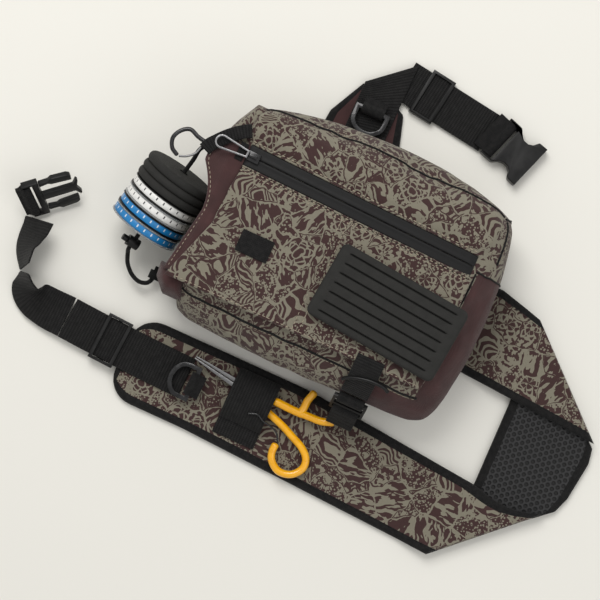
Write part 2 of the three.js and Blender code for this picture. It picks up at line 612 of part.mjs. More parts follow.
// Tab on the lower face of the body with a ladder lock and a ring.
const TAB = { x: 56, width: 25 };
function buildTab() {
  add('bottom_tab', ribbon([
    [TAB.x, -66, FRONT_Z + 4.8], [TAB.x, -73.5, FRONT_Z + 4.4], [TAB.x, -82, 85.5], [TAB.x, -92, 75],
    [TAB.x, -100.5, 63],
  ], TAB.width, 1.8, 10), blackWebbing);
  const tilt = 58 * DEGREE; // how far the hanging hardware leans down from level
  const hang = (g, y, z) => g.rotateZ(-Math.PI / 2).rotateX(tilt).translate(TAB.x, y, z);
  const frame = join(
    block(-2, 2, -15.5, 15.5, -1.8, 1.8),
    block(-2, 19, -15.5, -13.2, -1.8, 1.8),
    block(-2, 19, 13.2, 15.5, -1.8, 1.8),
    block(9, 12, -14, 14, -1.8, 1.8),
    block(16, 19, -15.5, 15.5, -1.8, 1.8),
  );
  add('ladder_lock', hang(frame, -106.5, 56), blackPlastic);
  add('ladder_lock_loop', hang(barLoop(24, 6.2), -106.5, 56), blackWebbing);
  const lower = [-106.5 - 17.5 * Math.cos(tilt), 56 - 17.5 * Math.sin(tilt)];
  add('tab_ring', hang(ringOnBar(), lower[0], lower[1]), blackMetal);
}

// Webbing link below the ladder lock with its end ring, as one closed loop round the lower bar.
function ringOnBar() {
  const link = new THREE.Shape();
  link.absarc(0, 0, 5, Math.PI / 2, 1.5 * Math.PI);
  link.absarc(20, 0, 5, 1.5 * Math.PI, 2.5 * Math.PI);
  const hole = new THREE.Path();
  hole.absarc(0, 0, 3.2, 1.5 * Math.PI, Math.PI / 2, true);
  hole.absarc(20, 0, 3.2, 2.5 * Math.PI, 1.5 * Math.PI, true);
  link.holes.push(hole);
  const options = { depth: 24, bevelEnabled: false, curveSegments: 8 };
  return new THREE.ExtrudeGeometry(link, options).translate(0, 0, -12).rotateX(Math.PI / 2);
}

buildBody();
buildShoulderStrap();
buildWing();
buildBelt();
buildWaistBelt();
buildPlug();
buildStack();
buildCord();
buildClip();
buildForceps();
buildPatch();
buildTab();

bag.position.set(-CENTRE.x, -CENTRE.y, 0);
bag.updateMatrixWorld(true);

export default bag;
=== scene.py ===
import json
import math

import bmesh
import bpy
from mathutils import Matrix, Vector, noise
from mathutils.bvhtree import BVHTree

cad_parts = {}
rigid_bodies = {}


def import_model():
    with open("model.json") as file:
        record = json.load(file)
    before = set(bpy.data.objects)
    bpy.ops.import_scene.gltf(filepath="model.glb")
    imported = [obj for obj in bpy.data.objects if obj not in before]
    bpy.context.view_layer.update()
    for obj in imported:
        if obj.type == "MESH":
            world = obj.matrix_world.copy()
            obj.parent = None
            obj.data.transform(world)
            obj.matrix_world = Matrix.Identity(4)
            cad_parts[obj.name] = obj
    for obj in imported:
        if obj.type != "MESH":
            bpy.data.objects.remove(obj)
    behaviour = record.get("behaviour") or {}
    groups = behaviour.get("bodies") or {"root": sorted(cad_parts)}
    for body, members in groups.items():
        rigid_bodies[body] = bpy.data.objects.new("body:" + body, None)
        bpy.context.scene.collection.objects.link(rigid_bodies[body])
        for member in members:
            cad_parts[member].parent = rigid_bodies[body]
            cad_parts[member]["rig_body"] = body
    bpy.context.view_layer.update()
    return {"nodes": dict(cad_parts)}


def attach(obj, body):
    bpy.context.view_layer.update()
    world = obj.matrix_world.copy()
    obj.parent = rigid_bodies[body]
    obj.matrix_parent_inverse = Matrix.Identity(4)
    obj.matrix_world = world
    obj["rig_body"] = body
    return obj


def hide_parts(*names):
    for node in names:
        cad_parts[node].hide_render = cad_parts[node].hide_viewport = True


# Looks of a fishing sling bag that lies on its back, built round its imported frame.
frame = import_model()

# ---------------------------------------------------------------- driving dimensions
# Shapes are laid out in millimetres, with CENTRE as the point that becomes the origin.
MM = 0.001
CENTRE = Vector((-6.5, -3.4, 0))
GAP = 0.3
BODY_Z = 8.3
FRONT_Z = 88
ZIP = {"left": -113, "right": 104, "y_left": 48.3, "y_right": 41, "width": 19.5,
    "slit": 0.12}
WEBBING = {"width": 38, "thick": 1.8}
STRAP = {"thick": 6.5, "high": 6.8, "binding": 8.5}
WING_Z = 5
WAIST_Z = STRAP["thick"] + GAP
PATCH = {"x": 51.8, "y": -25.2, "width": 122, "height": 68, "thick": 8, "turn": -5.5}
STACK = {"x": -165.5, "y": -13, "z": 39.2, "yaw": 13, "lean": 12}
SPOOL = {"radius": 33, "width": 9.2, "pitch": 9.6, "bore": 4.5, "first": -32}
FOAM = {"radius": 34, "width": 23, "lobes": 3}
FORCEPS = {"x": -31, "y": -136.5, "z": 10.5, "turn": -8.6, "plate": 2.2}
BELT = {"x": -22, "y": 177.5, "z": 2.6, "turn": -8, "length": 95}
CORD_RADIUS = 2
CLIP_Z = 78.5
TAB = {"x": 56, "width": 25}
FINE_THREAD = 0.3
CAMERA = {"distance": 1.5, "lens": 100, "sensor": 36, "roll": 24.5, "elevation": 88}
AIM = Vector((-0.0145, -0.0396, 0))


def at(x, y, z):
    """A layout point in the frame, in metres."""
    return (Vector((x, y, z)) - CENTRE) * MM


def turned(points, axis, degrees, origin=(0, 0, 0)):
    """Points turned about an axis through the layout's zero point, then moved to origin."""
    turn = Matrix.Rotation(math.radians(degrees), 3, axis)
    return [turn @ Vector(p) + Vector(origin) for p in points]


def along_stack(h, radius=0.0, angle=0.0):
    """A point at height h on the spools' shared axis, or off it."""
    point = Vector((radius * math.cos(angle), h, radius * math.sin(angle)))
    point = Matrix.Rotation(math.radians(STACK["lean"]), 3, "X") @ point
    point = Matrix.Rotation(math.radians(-STACK["yaw"]), 3, "Z") @ point
    return point + Vector((STACK["x"], STACK["y"], STACK["z"]))


def smooth_line(points, count):
    """count + 1 points, evenly spaced on a smooth curve through the given ones."""
    points = [Vector(p) for p in points]
    ends = [2 * points[0] - points[1], *points, 2 * points[-1] - points[-2]]
    dense = []
    per_stretch = 16
    for a, b, c, d in zip(ends, ends[1:], ends[2:], ends[3:]):
        t0 = 0.0
        t1 = t0 + max((b - a).length, 1e-6) ** 0.5
        t2 = t1 + max((c - b).length, 1e-6) ** 0.5
        t3 = t2 + max((d - c).length, 1e-6) ** 0.5
        for step in range(per_stretch):
            t = t1 + (t2 - t1) * step / per_stretch
            p = a * (t1 - t) / (t1 - t0) + b * (t - t0) / (t1 - t0)
            q = b * (t2 - t) / (t2 - t1) + c * (t - t1) / (t2 - t1)
            r = c * (t3 - t) / (t3 - t2) + d * (t - t2) / (t3 - t2)
            early = p * (t2 - t) / (t2 - t0) + q * (t - t0) / (t2 - t0)
            late = q * (t3 - t) / (t3 - t1) + r * (t - t1) / (t3 - t1)
            dense.append(early * (t2 - t) / (t2 - t1) + late * (t - t1) / (t2 - t1))
    dense.append(points[-1])
    return evenly(dense, count)


def evenly(points, count):
    """count + 1 evenly spaced points along straight stretches between the given ones."""
    points = [Vector(p) for p in points]
    places = [0.0]
    for a, b in zip(points, points[1:]):
        places.append(places[-1] + (b - a).length)
    found = []
    start = 0
    for step in range(count + 1):
        goal = places[-1] * step / count
        while start < len(points) - 2 and places[start + 1] < goal:
            start += 1
        part = (goal - places[start]) / max(places[start + 1] - places[start], 1e-9)
        found.append(points[start].lerp(points[start + 1], min(max(part, 0.0), 1.0)))
    return found


def line_length(points):
    return sum((b - a).length for a, b in zip(points, points[1:]))


def through(values, t):
    """Evenly spaced values joined by straight stretches, read at t from 0 to 1."""
    place = t * (len(values) - 1)
    start = min(int(place), len(values) - 2)
    return values[start] + (values[start + 1] - values[start]) * (place - start)


def at_height(points, z=0.0):
    """(x, y) pairs as layout points at one height."""
    return [Vector((x, y, z)) for x, y in points]


def link(name, data):
    """A new object in the scene."""
    made = bpy.data.objects.new(name, data)
    bpy.context.scene.collection.objects.link(made)
    return made


# ---------------------------------------------------------------- camera, floor and light
def add_camera():
    roll = math.radians(CAMERA["roll"])
    height = math.radians(CAMERA["elevation"])
    right = Vector((math.cos(roll), math.sin(roll), 0))
    flat_up = Vector((-math.sin(roll), math.cos(roll), 0))
    back = -flat_up * math.cos(height) + Vector((0, 0, 1)) * math.sin(height)
    camera = link("camera", bpy.data.cameras.new("camera"))
    place = Matrix((right, back.cross(right), back)).transposed().to_4x4()
    place.translation = AIM + back * CAMERA["distance"]
    camera.matrix_world = place
    camera.data.lens = CAMERA["lens"]
    camera.data.sensor_width = CAMERA["sensor"]
    bpy.context.scene.camera = camera


def add_light(name, place, size, power, colour=(1, 1, 1)):
    light = bpy.data.lights.new(name, "AREA")
    light.size = size
    light.energy = power
    light.color = colour
    lamp = link(name, light)
    lamp.location = place
    lamp.rotation_euler = (-Vector(place)).to_track_quat("-Z", "Y").to_euler()


def add_studio():
    bpy.ops.mesh.primitive_plane_add(size=8)
    floor = bpy.context.object
    floor.name = "floor"
    floor.location.z = -0.0006
    paper = Shader("pale_paper", roughness=0.9, specular_ior_level=0.2)
    paper.paint((0.735, 0.725, 0.68))
    floor.data.materials.append(paper.material)
    add_light("key_light", (-0.7, 0.9, 1.7), size=1.1, power=26, colour=(1, 0.985, 0.96))
    add_light("fill_light", (1.2, -0.3, 1.5), size=1.6, power=7)
    world = bpy.data.worlds.new("studio")
    world.use_nodes = True
    sky = world.node_tree.nodes["Background"].inputs
    sky["Color"].default_value = (1, 0.99, 0.97, 1)
    sky["Strength"].default_value = 0.60
    bpy.context.scene.world = world
    bpy.context.scene.view_settings.view_transform = "Standard"


# ---------------------------------------------------------------- materials
class Shader:
    """One node material. Every method that makes a node returns its first output."""

    def __init__(self, name, **settings):
        self.material = bpy.data.materials.new(name)
        self.material.use_nodes = True
        self.tree = self.material.node_tree
        self.bsdf = self.tree.nodes["Principled BSDF"]
        for key, value in settings.items():
            socket = key.replace("_", " ").title().replace("Ior", "IOR")
            self.bsdf.inputs[socket].default_value = value

    def node(self, kind, *inputs, out=0, **settings):
        made = self.tree.nodes.new(kind)
        for key, value in settings.items():
            setattr(made, key, value)
        for i, value in enumerate(inputs):
            if value is not None:
                self.feed(made.inputs[i], value)
        return made.outputs[out]

    def feed(self, socket, value):
        if isinstance(value, bpy.types.NodeSocket):
            self.tree.links.new(value, socket)
        elif hasattr(value, "__len__") and len(value) == 3 and socket.type == "RGBA":
            socket.default_value = (*value, 1)
        else:
            socket.default_value = value

    def math(self, operation, *inputs):
        return self.node("ShaderNodeMath", *inputs, operation=operation)

    def vector(self, operation, *inputs):
        return self.node("ShaderNodeVectorMath", *inputs, operation=operation)

    def scaled(self, place, factor):
        factors = factor if isinstance(factor, tuple) else (factor, factor, factor)
        return self.vector("MULTIPLY", place, factors)

    def coordinates(self, kind="Object"):
        return self.tree.nodes.new("ShaderNodeTexCoord").outputs[kind]

    def split(self, place):
        made = self.tree.nodes.new("ShaderNodeSeparateXYZ")
        self.feed(made.inputs[0], place)
        return made.outputs[0], made.outputs[1], made.outputs[2]

    def noise(self, place, scale, detail=2.0, out="Fac"):
        made = self.tree.nodes.new("ShaderNodeTexNoise")
        self.feed(made.inputs["Vector"], place)
        made.inputs["Scale"].default_value = scale
        made.inputs["Detail"].default_value = detail
        return made.outputs[out]

    def cells(self, place, scale, feature="F1", outputs=("Distance",)):
        made = self.tree.nodes.new("ShaderNodeTexVoronoi")
        made.feature = feature
        self.feed(made.inputs["Vector"], place)
        made.inputs["Scale"].default_value = scale
        return [made.outputs[name] for name in outputs]

    def mix(self, factor, low, high):
        """The colour low where factor is 0, and high where it is 1."""
        made = self.tree.nodes.new("ShaderNodeMix")
        made.data_type = "RGBA"
        self.feed(made.inputs["Factor"], factor)
        first_colour, second_colour = made.inputs[6], made.inputs[7]
        self.feed(first_colour, low)
        self.feed(second_colour, high)
        return made.outputs[2]

    def blend(self, factor, low, high):
        """low where factor is 0, high where it is 1."""
        change = self.math("SUBTRACT", high, low)
        return self.math("MULTIPLY_ADD", change, factor, low)

    def spread(self, value, low, high, to_low=0.0, to_high=1.0):
        return self.node("ShaderNodeMapRange", value, low, high, to_low, to_high)

    def paint(self, colour):
        self.feed(self.bsdf.inputs["Base Color"], colour)
        return self

    def rough(self, value):
        self.feed(self.bsdf.inputs["Roughness"], value)
        return self

    def bump(self, height, distance, strength=1.0):
        made = self.tree.nodes.new("ShaderNodeBump")
        made.inputs["Strength"].default_value = strength
        made.inputs["Distance"].default_value = distance
        self.feed(made.inputs["Height"], height)
        self.feed(self.bsdf.inputs["Normal"], made.outputs[0])
        return self


TAUPE = (0.196, 0.180, 0.137)
PRINT_DARK = (0.038, 0.0165, 0.0155)
MAROON = (0.045, 0.0175, 0.0175)
THREAD = (0.36, 0.30, 0.22)


def weave(s, place, pitch):
    """Height of a plain weave of that pitch in metres, in all three planes."""
    rows = [s.math("SINE", s.math("MULTIPLY", axis, 2 * math.pi / pitch)) for axis in s.split(place)]
    crossed = s.math("MULTIPLY", rows[0], rows[1])
    return s.math("ADD", crossed, s.math("MULTIPLY", rows[2], rows[0]))


def print_mask(s, place):
    """1 where the dark ink of the print lies. Each cell of about 20 mm has its own motif."""
    size = 47
    drift = s.vector("SUBTRACT", s.noise(place, 60, 2, "Color"), (0.5, 0.5, 0.5))
    warped = s.vector("ADD", place, s.scaled(drift, 0.009))
    colour, centre = s.cells(warped, size, outputs=("Color", "Position"))
    edge = s.cells(warped, size, "DISTANCE_TO_EDGE")[0]
    pick, turn, chance = s.split(colour)

    rings = s.math("FRACT", s.math("MULTIPLY", s.noise(warped, 30, 0.5), 17))
    contour = s.math("GREATER_THAN", rings, 0.47)

    rotate = s.tree.nodes.new("ShaderNodeVectorRotate")
    rotate.rotation_type = "Z_AXIS"
    s.feed(rotate.inputs["Vector"], warped)
    s.feed(rotate.inputs["Angle"], s.math("MULTIPLY", turn, 2 * math.pi))
    stroke_place = s.scaled(rotate.outputs[0], (1.0, 0.24, 0.6))
    strokes = s.math("GREATER_THAN", s.noise(stroke_place, 330, 1.0), 0.475)

    blobs = s.math("GREATER_THAN", s.noise(warped, 150, 1.5), 0.45)
    spots = s.math("LESS_THAN", s.cells(place, 420)[0], 0.36)
    speckled = s.math("ABSOLUTE", s.math("SUBTRACT", blobs, spots))

    local = s.vector("SUBTRACT", s.scaled(warped, size), s.scaled(centre, size))
    lx, ly, _ = s.split(local)
    angle = s.math("ARCTAN2", ly, lx)
    reach = s.vector("LENGTH", local).node.outputs["Value"]
    petals = s.math("ABSOLUTE", s.math("SINE", s.math("MULTIPLY_ADD", angle, 2.5, turn)))
    limit = s.math("MULTIPLY_ADD", petals, 0.34, 0.16)
    leaf = s.math("LESS_THAN", reach, limit)
    vein = s.math("GREATER_THAN", s.math("FRACT", s.math("MULTIPLY", reach, 5.5)), 0.3)
    outside = s.math("GREATER_THAN", s.noise(place, 260, 1), 0.49)
    beyond = s.math("GREATER_THAN", reach, s.math("ADD", limit, 0.09))
    rosette = s.math("MAXIMUM", s.math("MULTIPLY", leaf, vein), s.math("MULTIPLY", beyond, outside))

    chosen = contour
    for start, motif in ((0.2, strokes), (0.47, rosette), (0.74, speckled)):
        chosen = s.blend(s.math("GREATER_THAN", pick, start), chosen, motif)
    ragged = s.math("MULTIPLY_ADD", s.noise(place, 240, 1), 0.09, -0.012)
    gap = s.math("GREATER_THAN", edge, ragged)
    filled = s.math("MULTIPLY", s.math("LESS_THAN", edge, 0.03), s.math("GREATER_THAN", chance, 0.72))
    return s.math("MAXIMUM", s.math("MULTIPLY", chosen, gap), filled)


def cloth_colours(s, place):
    """The printed cloth's colour, with the slight unevenness of the ink and the dye."""
    shade = s.spread(s.noise(place, 900, 3), 0.3, 0.7, 0.0, 0.32)
    light = s.mix(shade, TAUPE, tuple(c * 0.74 for c in TAUPE))
    dark = s.mix(shade, PRINT_DARK, tuple(c * 1.5 for c in PRINT_DARK))
    return s.mix(print_mask(s, place), light, dark)


def maroon_colours(s, place):
    faded = s.spread(s.noise(place, 60, 4), 0.35, 0.7)
    return s.mix(faded, tuple(c * 0.86 for c in MAROON), tuple(c * 1.25 for c in MAROON))


def cloth_relief(s, place, fine):
    """Weave with the soft creases of worn cloth."""
    creases = s.noise(s.scaled(place, (1.0, 0.55, 1.0)), 38, 3)
    height = s.math("MULTIPLY_ADD", creases, 5, s.math("MULTIPLY", weave(s, place, fine), 0.5))
    return s.bump(height, 0.0004, 0.55)


def body_colours(s, place):
    """Printed cloth, with maroon panels at the right end and under the lower edge."""
    x, y, z = s.split(place)
    corner = at(107, 38, 0)
    band = at(62, -84, 47)
    bottom = at(0, -60, 0)
    slope = s.math("MULTIPLY_ADD", y, 0.05, corner.x)
    end = s.math("MULTIPLY", s.math("GREATER_THAN", x, slope), s.math("LESS_THAN", y, corner.y))
    beside = s.math("MULTIPLY", s.math("GREATER_THAN", x, band.x), s.math("LESS_THAN", y, band.y))
    below = s.math("MULTIPLY", s.math("LESS_THAN", z, band.z), s.math("LESS_THAN", y, bottom.y))
    mask = s.math("MAXIMUM", end, s.math("MAXIMUM", beside, below))
    return s.mix(mask, cloth_colours(s, place), maroon_colours(s, place))


def make_cloth(name, colours, pitch, roughness, sheen):
    s = Shader(name, roughness=roughness, sheen_weight=sheen, specular_ior_level=0.3)
    place = s.coordinates()
    s.paint(colours(s, place))
    return cloth_relief(s, place, pitch).material


def make_webbing():
    """Ribbed webbing. Its coordinates run along (x) and across (y) the strap, in metres."""
    s = Shader("black_webbing", roughness=0.8, sheen_weight=0.04, specular_ior_level=0.22)
    u, v, _ = s.split(s.coordinates("UV"))
    rib = s.math("ABSOLUTE", s.math("SINE", s.math("MULTIPLY", u, math.pi / 0.0026)))
    cord = s.math("ABSOLUTE", s.math("SINE", s.math("MULTIPLY", v, math.pi / 0.0015)))
    height = s.math("MULTIPLY_ADD", rib, 0.75, s.math("MULTIPLY", cord, 0.4))
    worn = s.noise(s.coordinates(), 220, 3)
    # The rib crowns are painted lighter and the grooves darker: painted highlight and painted shade
    # that follow the relief, varied by a wear noise.
    shade = s.spread(s.math("MULTIPLY", height, worn), 0.1, 0.75)
    s.paint(s.mix(shade, (0.0020, 0.0020, 0.0021), (0.014, 0.0135, 0.0135)))
    return s.bump(height, 0.0006, 0.9).material


def make_tape():
    """Fine black grosgrain of the bindings and the sewn loops."""
    s = Shader("black_binding", roughness=0.76, sheen_weight=0.04, specular_ior_level=0.22)
    place = s.coordinates()
    height = weave(s, place, 0.0016)
    shade = s.spread(s.noise(place, 300, 3), 0.35, 0.7)
    s.paint(s.mix(shade, (0.0030, 0.0030, 0.0032), (0.0095, 0.009, 0.009)))
    return s.bump(height, 0.0003, 0.7).material


def make_mesh_cloth():
    """Spacer mesh: rows of small holes set in a honeycomb."""
    s = Shader("mesh_cloth", roughness=0.62, specular_ior_level=0.4)
    place = s.coordinates()
    x, y, _ = s.split(place)
    pitch = 0.0046
    waves = []
    for turn in (8, 68, 128):
        angle = math.radians(turn)
        along = s.math("MULTIPLY", x, math.cos(angle) * 2 * math.pi / pitch)
        across = s.math("MULTIPLY", y, math.sin(angle) * 2 * math.pi / pitch)
        waves.append(s.math("COSINE", s.math("ADD", along, across)))
    total = s.math("ADD", waves[0], s.math("ADD", waves[1], waves[2]))
    threads = s.spread(total, -0.6, 1.6, 1.0, 0.0)
    # The holes are painted near black against the lighter threads: painted shade inside the holes.
    s.paint(s.mix(threads, (0.001, 0.001, 0.001), (0.016, 0.016, 0.017)))
    return s.bump(threads, 0.0011, 1.0).material


def make_coated():
    s = Shader("coated_tape", specular_ior_level=0.2)
    place = s.coordinates()
    haze = s.noise(place, 190, 4)
    s.paint(s.mix(haze, (0.0045, 0.0045, 0.0048), (0.0095, 0.0095, 0.01)))
    s.rough(s.spread(haze, 0.3, 0.7, 0.42, 0.6))
    return s.bump(s.noise(place, 1500, 2), 0.00015, 0.4).material


def make_hard(name, low, high, rough, grain, metallic=0.0, coat=0.0, specular=0.5):
    """Moulded plastic, painted metal or bare metal with a fine grain and faint handling marks."""
    s = Shader(name, metallic=metallic, coat_weight=coat, specular_ior_level=specular)
    place = s.coordinates()
    marks = s.noise(place, 140, 5)
    s.paint(s.mix(s.spread(marks, 0.35, 0.7), low, high))
    s.rough(s.spread(marks, 0.3, 0.75, rough - 0.06, rough + 0.1))
    return s.bump(s.noise(place, grain, 2), 0.00012, 0.35).material


def make_steel():
    """Bright metal with a grain along X."""
    s = Shader("brushed_steel", metallic=1.0)
    place = s.coordinates()
    brushed = s.noise(s.scaled(place, (0.12, 1.0, 1.0)), 2600, 2)
    s.paint(s.mix(brushed, (0.12, 0.12, 0.125), (0.27, 0.27, 0.275)))
    s.rough(s.spread(brushed, 0.3, 0.7, 0.28, 0.46))
    return s.bump(brushed, 0.00008, 0.4).material


def make_foam():
    s = Shader("dark_foam", roughness=0.86, specular_ior_level=0.3)
    place = s.coordinates()
    pores = s.cells(place, 1500)[0]
    s.paint(s.mix(s.noise(place, 120, 4), (0.013, 0.013, 0.012), (0.025, 0.0245, 0.023)))
    return s.bump(s.math("ADD", pores, s.noise(place, 500, 3)), 0.00035, 0.6).material


def make_band(name, base, mark):
    """Printed spool band: plain colour with a row of short generic ticks."""
    s = Shader(name, roughness=0.42, coat_weight=0.2)
    u, v, _ = s.split(s.coordinates("UV"))
    tick = s.math("LESS_THAN", s.math("FRACT", s.math("MULTIPLY", u, 1 / 0.0075)), 0.16)
    row = s.math("COMPARE", v, 0.0036, 0.0013)
    worn = s.noise(s.coordinates(), 260, 3)
    colour = s.mix(s.spread(worn, 0.3, 0.8), base, tuple(c * 0.82 for c in base))
    s.paint(s.mix(s.math("MULTIPLY", tick, row), colour, mark))
    return s.bump(worn, 0.0001, 0.4).material


def make_clear():
    s = Shader("clear_plastic", ior=1.49, transmission_weight=0.72)
    place = s.coordinates()
    scuffs = s.noise(place, 420, 4)
    s.paint(s.mix(scuffs, (0.62, 0.66, 0.68), (0.86, 0.88, 0.89)))
    s.rough(s.spread(scuffs, 0.35, 0.75, 0.07, 0.28))
    return s.bump(scuffs, 0.0001, 0.3).material


def make_thread():
    s = Shader("stitch_thread", roughness=0.7, sheen_weight=0.2)
    place = s.coordinates()
    twist = s.noise(place, 2500, 2)
    s.paint(s.mix(twist, tuple(c * 0.7 for c in THREAD), THREAD))
    return s.bump(twist, 0.0002, 0.5).material


add_camera()
add_studio()

PRINTED = make_cloth("printed_cloth", cloth_colours, 0.0011, 0.82, 0.12)
MAROON_CLOTH = make_cloth("maroon_cloth", maroon_colours, 0.0009, 0.8, 0.15)
BODY_CLOTH = make_cloth("body_cloth", body_colours, 0.0011, 0.82, 0.12)
WEBBING_RIBS = make_webbing()
BINDING = make_tape()
MESH_CLOTH = make_mesh_cloth()
COATED = make_coated()
PLASTIC = make_hard("black_plastic", (0.002, 0.002, 0.0022), (0.006, 0.006, 0.0062), 0.4, 900,
    specular=0.3)
BLACK_METAL = make_hard("black_metal", (0.012, 0.012, 0.013), (0.03, 0.03, 0.032), 0.26, 700,
    metallic=0.6, coat=0.3)
STEEL = make_steel()
FOAM_CLOTH = make_foam()
YELLOW = make_hard("yellow_grip", (0.78, 0.36, 0.0), (0.88, 0.43, 0.001), 0.3, 300, coat=0.5)
WHITE_BAND = make_band("white_band", (0.78, 0.78, 0.76), (0.04, 0.04, 0.045))
BLUE_BAND = make_band("blue_band", (0.003, 0.185, 0.47), (0.60, 0.64, 0.68))
CLEAR = make_clear()
STITCH = make_thread()


# ---------------------------------------------------------------- making pieces
def ready(piece, slot, body="bag", stands_for=()):
    """Puts a finished piece on its body and hides the nodes it stands for. slot is not used."""
    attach(piece, body)
    if stands_for:
        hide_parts(*stands_for)
    return piece


def build(name, points, faces, materials, uvs=None, marks=None, sharp=50):
    """A smooth mesh object from layout points. marks gives each face's material."""
    mesh = bpy.data.meshes.new(name)
    mesh.from_pydata([at(*p) for p in points], [], faces)
    for material in materials:
        mesh.materials.append(material)
    if marks:
        mesh.polygons.foreach_set("material_index", marks)
    if uvs:
        layer = mesh.uv_layers.new(name="along_across")
        for loop in mesh.loops:
            layer.data[loop.index].uv = uvs[loop.vertex_index]
    shaped = bmesh.new()
    shaped.from_mesh(mesh)
    bmesh.ops.recalc_face_normals(shaped, faces=shaped.faces)
    shaped.to_mesh(mesh)
    shaped.free()
    mesh.shade_smooth()
    mesh.set_sharp_from_angle(angle=math.radians(sharp))
    return link(name, mesh)


def closed_sheet(name, us, vs, top, bottom, materials, marked=None):
    """A closed sheet over a grid. top and bottom give the layout points of its two faces,
    which meet at the border. marked(i, j) is the material of a cell."""
    rows, columns = len(us), len(vs)
    upper = [[Vector(top(u, v)) for v in vs] for u in us]
    lower = [[Vector(bottom(u, v)) for v in vs] for u in us]
    middle = columns // 2
    along = [0.0]
    for i in range(1, rows):
        along.append(along[-1] + (upper[i][middle] - upper[i - 1][middle]).length)
    points, uvs, index = [], [], {}

    def place(i, j, side):
        border = i in (0, rows - 1) or j in (0, columns - 1)
        key = (i, j, 0 if border else side)
        if key not in index:
            index[key] = len(points)
            chosen = (upper[i][j] + lower[i][j]) / 2 if border else (lower, upper)[side][i][j]
            points.append(chosen)
            across = (upper[i][j] - upper[i][middle]).length * (1 if j > middle else -1)
            uvs.append((along[i] * MM, across * MM))
        return index[key]

    faces, marks = [], []
    for i in range(rows - 1):
        for j in range(columns - 1):
            corners = ((i, j), (i + 1, j), (i + 1, j + 1), (i, j + 1))
            for side, order in ((1, 1), (0, -1)):
                faces.append([place(*corner, side) for corner in corners][::order])
                marks.append(marked(i, j) if marked else 0)
    return build(name, points, faces, materials, uvs, marks)


def spaced(count, low=-1.0, high=1.0):
    """count + 1 evenly spaced values."""
    return [low + (high - low) * i / count for i in range(count + 1)]


def edge_round(distance, radius):
    """Share of the full thickness at this distance from a rounded edge."""
    if distance >= radius:
        return 1.0
    return math.sqrt(max(0.0, 1 - (1 - distance / radius) ** 2))


EDGE_STEPS = (0.0, 0.3, 1.0, 2.4, 4.5)


def strip_rows(width, inner, border=None):
    """Distances across a strip: close together at its edges, with lines at the border."""
    near = list(EDGE_STEPS)
    if border:
        near += [border - 0.15, border + 0.15]
    start = near[-1]
    inside = [start + (width - 2 * start) * i / inner for i in range(1, inner)]
    return near + inside + [width - d for d in reversed(near)]


def strap_strip(name, left, right, count, z, thick, materials, border=STRAP["binding"], inner=10,
        soft=3.0, bound_ends=(False, False), lift=0.0):
    """A padded strap between two side lines, with a black tape of width border bound over its
    edges and standing lift above the cloth. z(point) is the height of its underside, and soft
    is the radius of its edges."""
    lefts, rights = evenly(left, count), evenly(right, count)
    mean = sum((a - b).length for a, b in zip(lefts, rights)) / (count + 1)
    rows = strip_rows(mean, inner, border)
    share = [d / mean for d in rows]

    def spot(i, j):
        return lefts[i].lerp(rights[i], share[j])

    def face(i, j, side):
        p = spot(i, j)
        near_side = min(share[j], 1 - share[j]) * (lefts[i] - rights[i]).length
        near_end = min((spot(0, j) - p).length, (spot(count, j) - p).length)
        body = thick * edge_round(min(near_side, near_end), soft)
        if border and near_side > border:
            body -= lift
        return p.x, p.y, z(p) + thick / 2 + side * body / 2

    edge_cells = len(EDGE_STEPS) + 1

    def marked(i, j):
        if not border:
            return 0
        tied = j < edge_cells or j >= len(rows) - 1 - edge_cells
        near_start = bound_ends[0] and (spot(i, j) - spot(0, j)).length < border
        near_end = bound_ends[1] and (spot(i + 1, j) - spot(count, j)).length < border
        return 1 if tied or near_start or near_end else 0

    return closed_sheet(name, range(count + 1), range(len(rows)), lambda i, j: face(i, j, 1),
        lambda i, j: face(i, j, -1), materials, marked)


def ribbon(name, points, width, thick, count, roll=(0, 0), material=None):
    """Webbing along a smooth line, level across its width unless roll (degrees) tips it."""
    line = smooth_line(points, count)
    rows = [-1, -0.985, -0.95, -0.6, -0.2, 0.2, 0.6, 0.95, 0.985, 1]
    edge_radius = 0.8

    def frame_at(i):
        ahead = (line[min(i + 1, count)] - line[max(i - 1, 0)]).normalized()
        across = Vector((0, 0, 1)).cross(ahead).normalized()
        across.rotate(Matrix.Rotation(math.radians(through(roll, i / count)), 3, ahead))
        return across, ahead.cross(across)

    frames = [frame_at(i) for i in range(count + 1)]

    def face(i, v, side):
        across, normal = frames[i]
        rise = side * thick / 2 * edge_round((1 - abs(v)) * width / 2, edge_radius)
        return line[i] + across * (v * width / 2) + normal * rise

    return closed_sheet(name, range(count + 1), rows, lambda i, v: face(i, v, 1),
        lambda i, v: face(i, v, -1), [material or WEBBING_RIBS])


def tube(name, points, radius, count, material, sides=14):
    """A round bar along a smooth line, with domed ends."""
    line = smooth_line(points, count)
    first = (line[1] - line[0]).normalized()
    last = (line[-1] - line[-2]).normalized()
    dome = (0.05, 0.5, 0.85)
    flatness = 0.6

    def cap(place, ahead, share):
        return place + ahead * radius * math.sqrt(1 - share * share) * flatness, ahead, radius * share

    stations = []
    for share in dome:
        place, _, size = cap(line[0], -first, share)
        stations.append((place, first, size))
    for i, p in enumerate(line):
        ahead = (line[min(i + 1, count)] - line[max(i - 1, 0)]).normalized()
        stations.append((p, ahead, radius))
    stations += [cap(line[-1], last, share) for share in reversed(dome)]
    ring_points, faces = [], []
    side = first.orthogonal().normalized()
    for place, ahead, size in stations:
        side = (side - ahead * side.dot(ahead)).normalized()
        other = ahead.cross(side)
        for k in range(sides):
            a = 2 * math.pi * k / sides
            ring_points.append(place + side * (size * math.cos(a)) + other * (size * math.sin(a)))
    for i in range(len(stations) - 1):
        for k in range(sides):
            n = (k + 1) % sides
            faces.append([i * sides + k, i * sides + n, (i + 1) * sides + n, (i + 1) * sides + k])
    faces.append(list(range(sides)))
    faces.append([(len(stations) - 1) * sides + k for k in range(sides)])
    return build(name, ring_points, faces, [material])


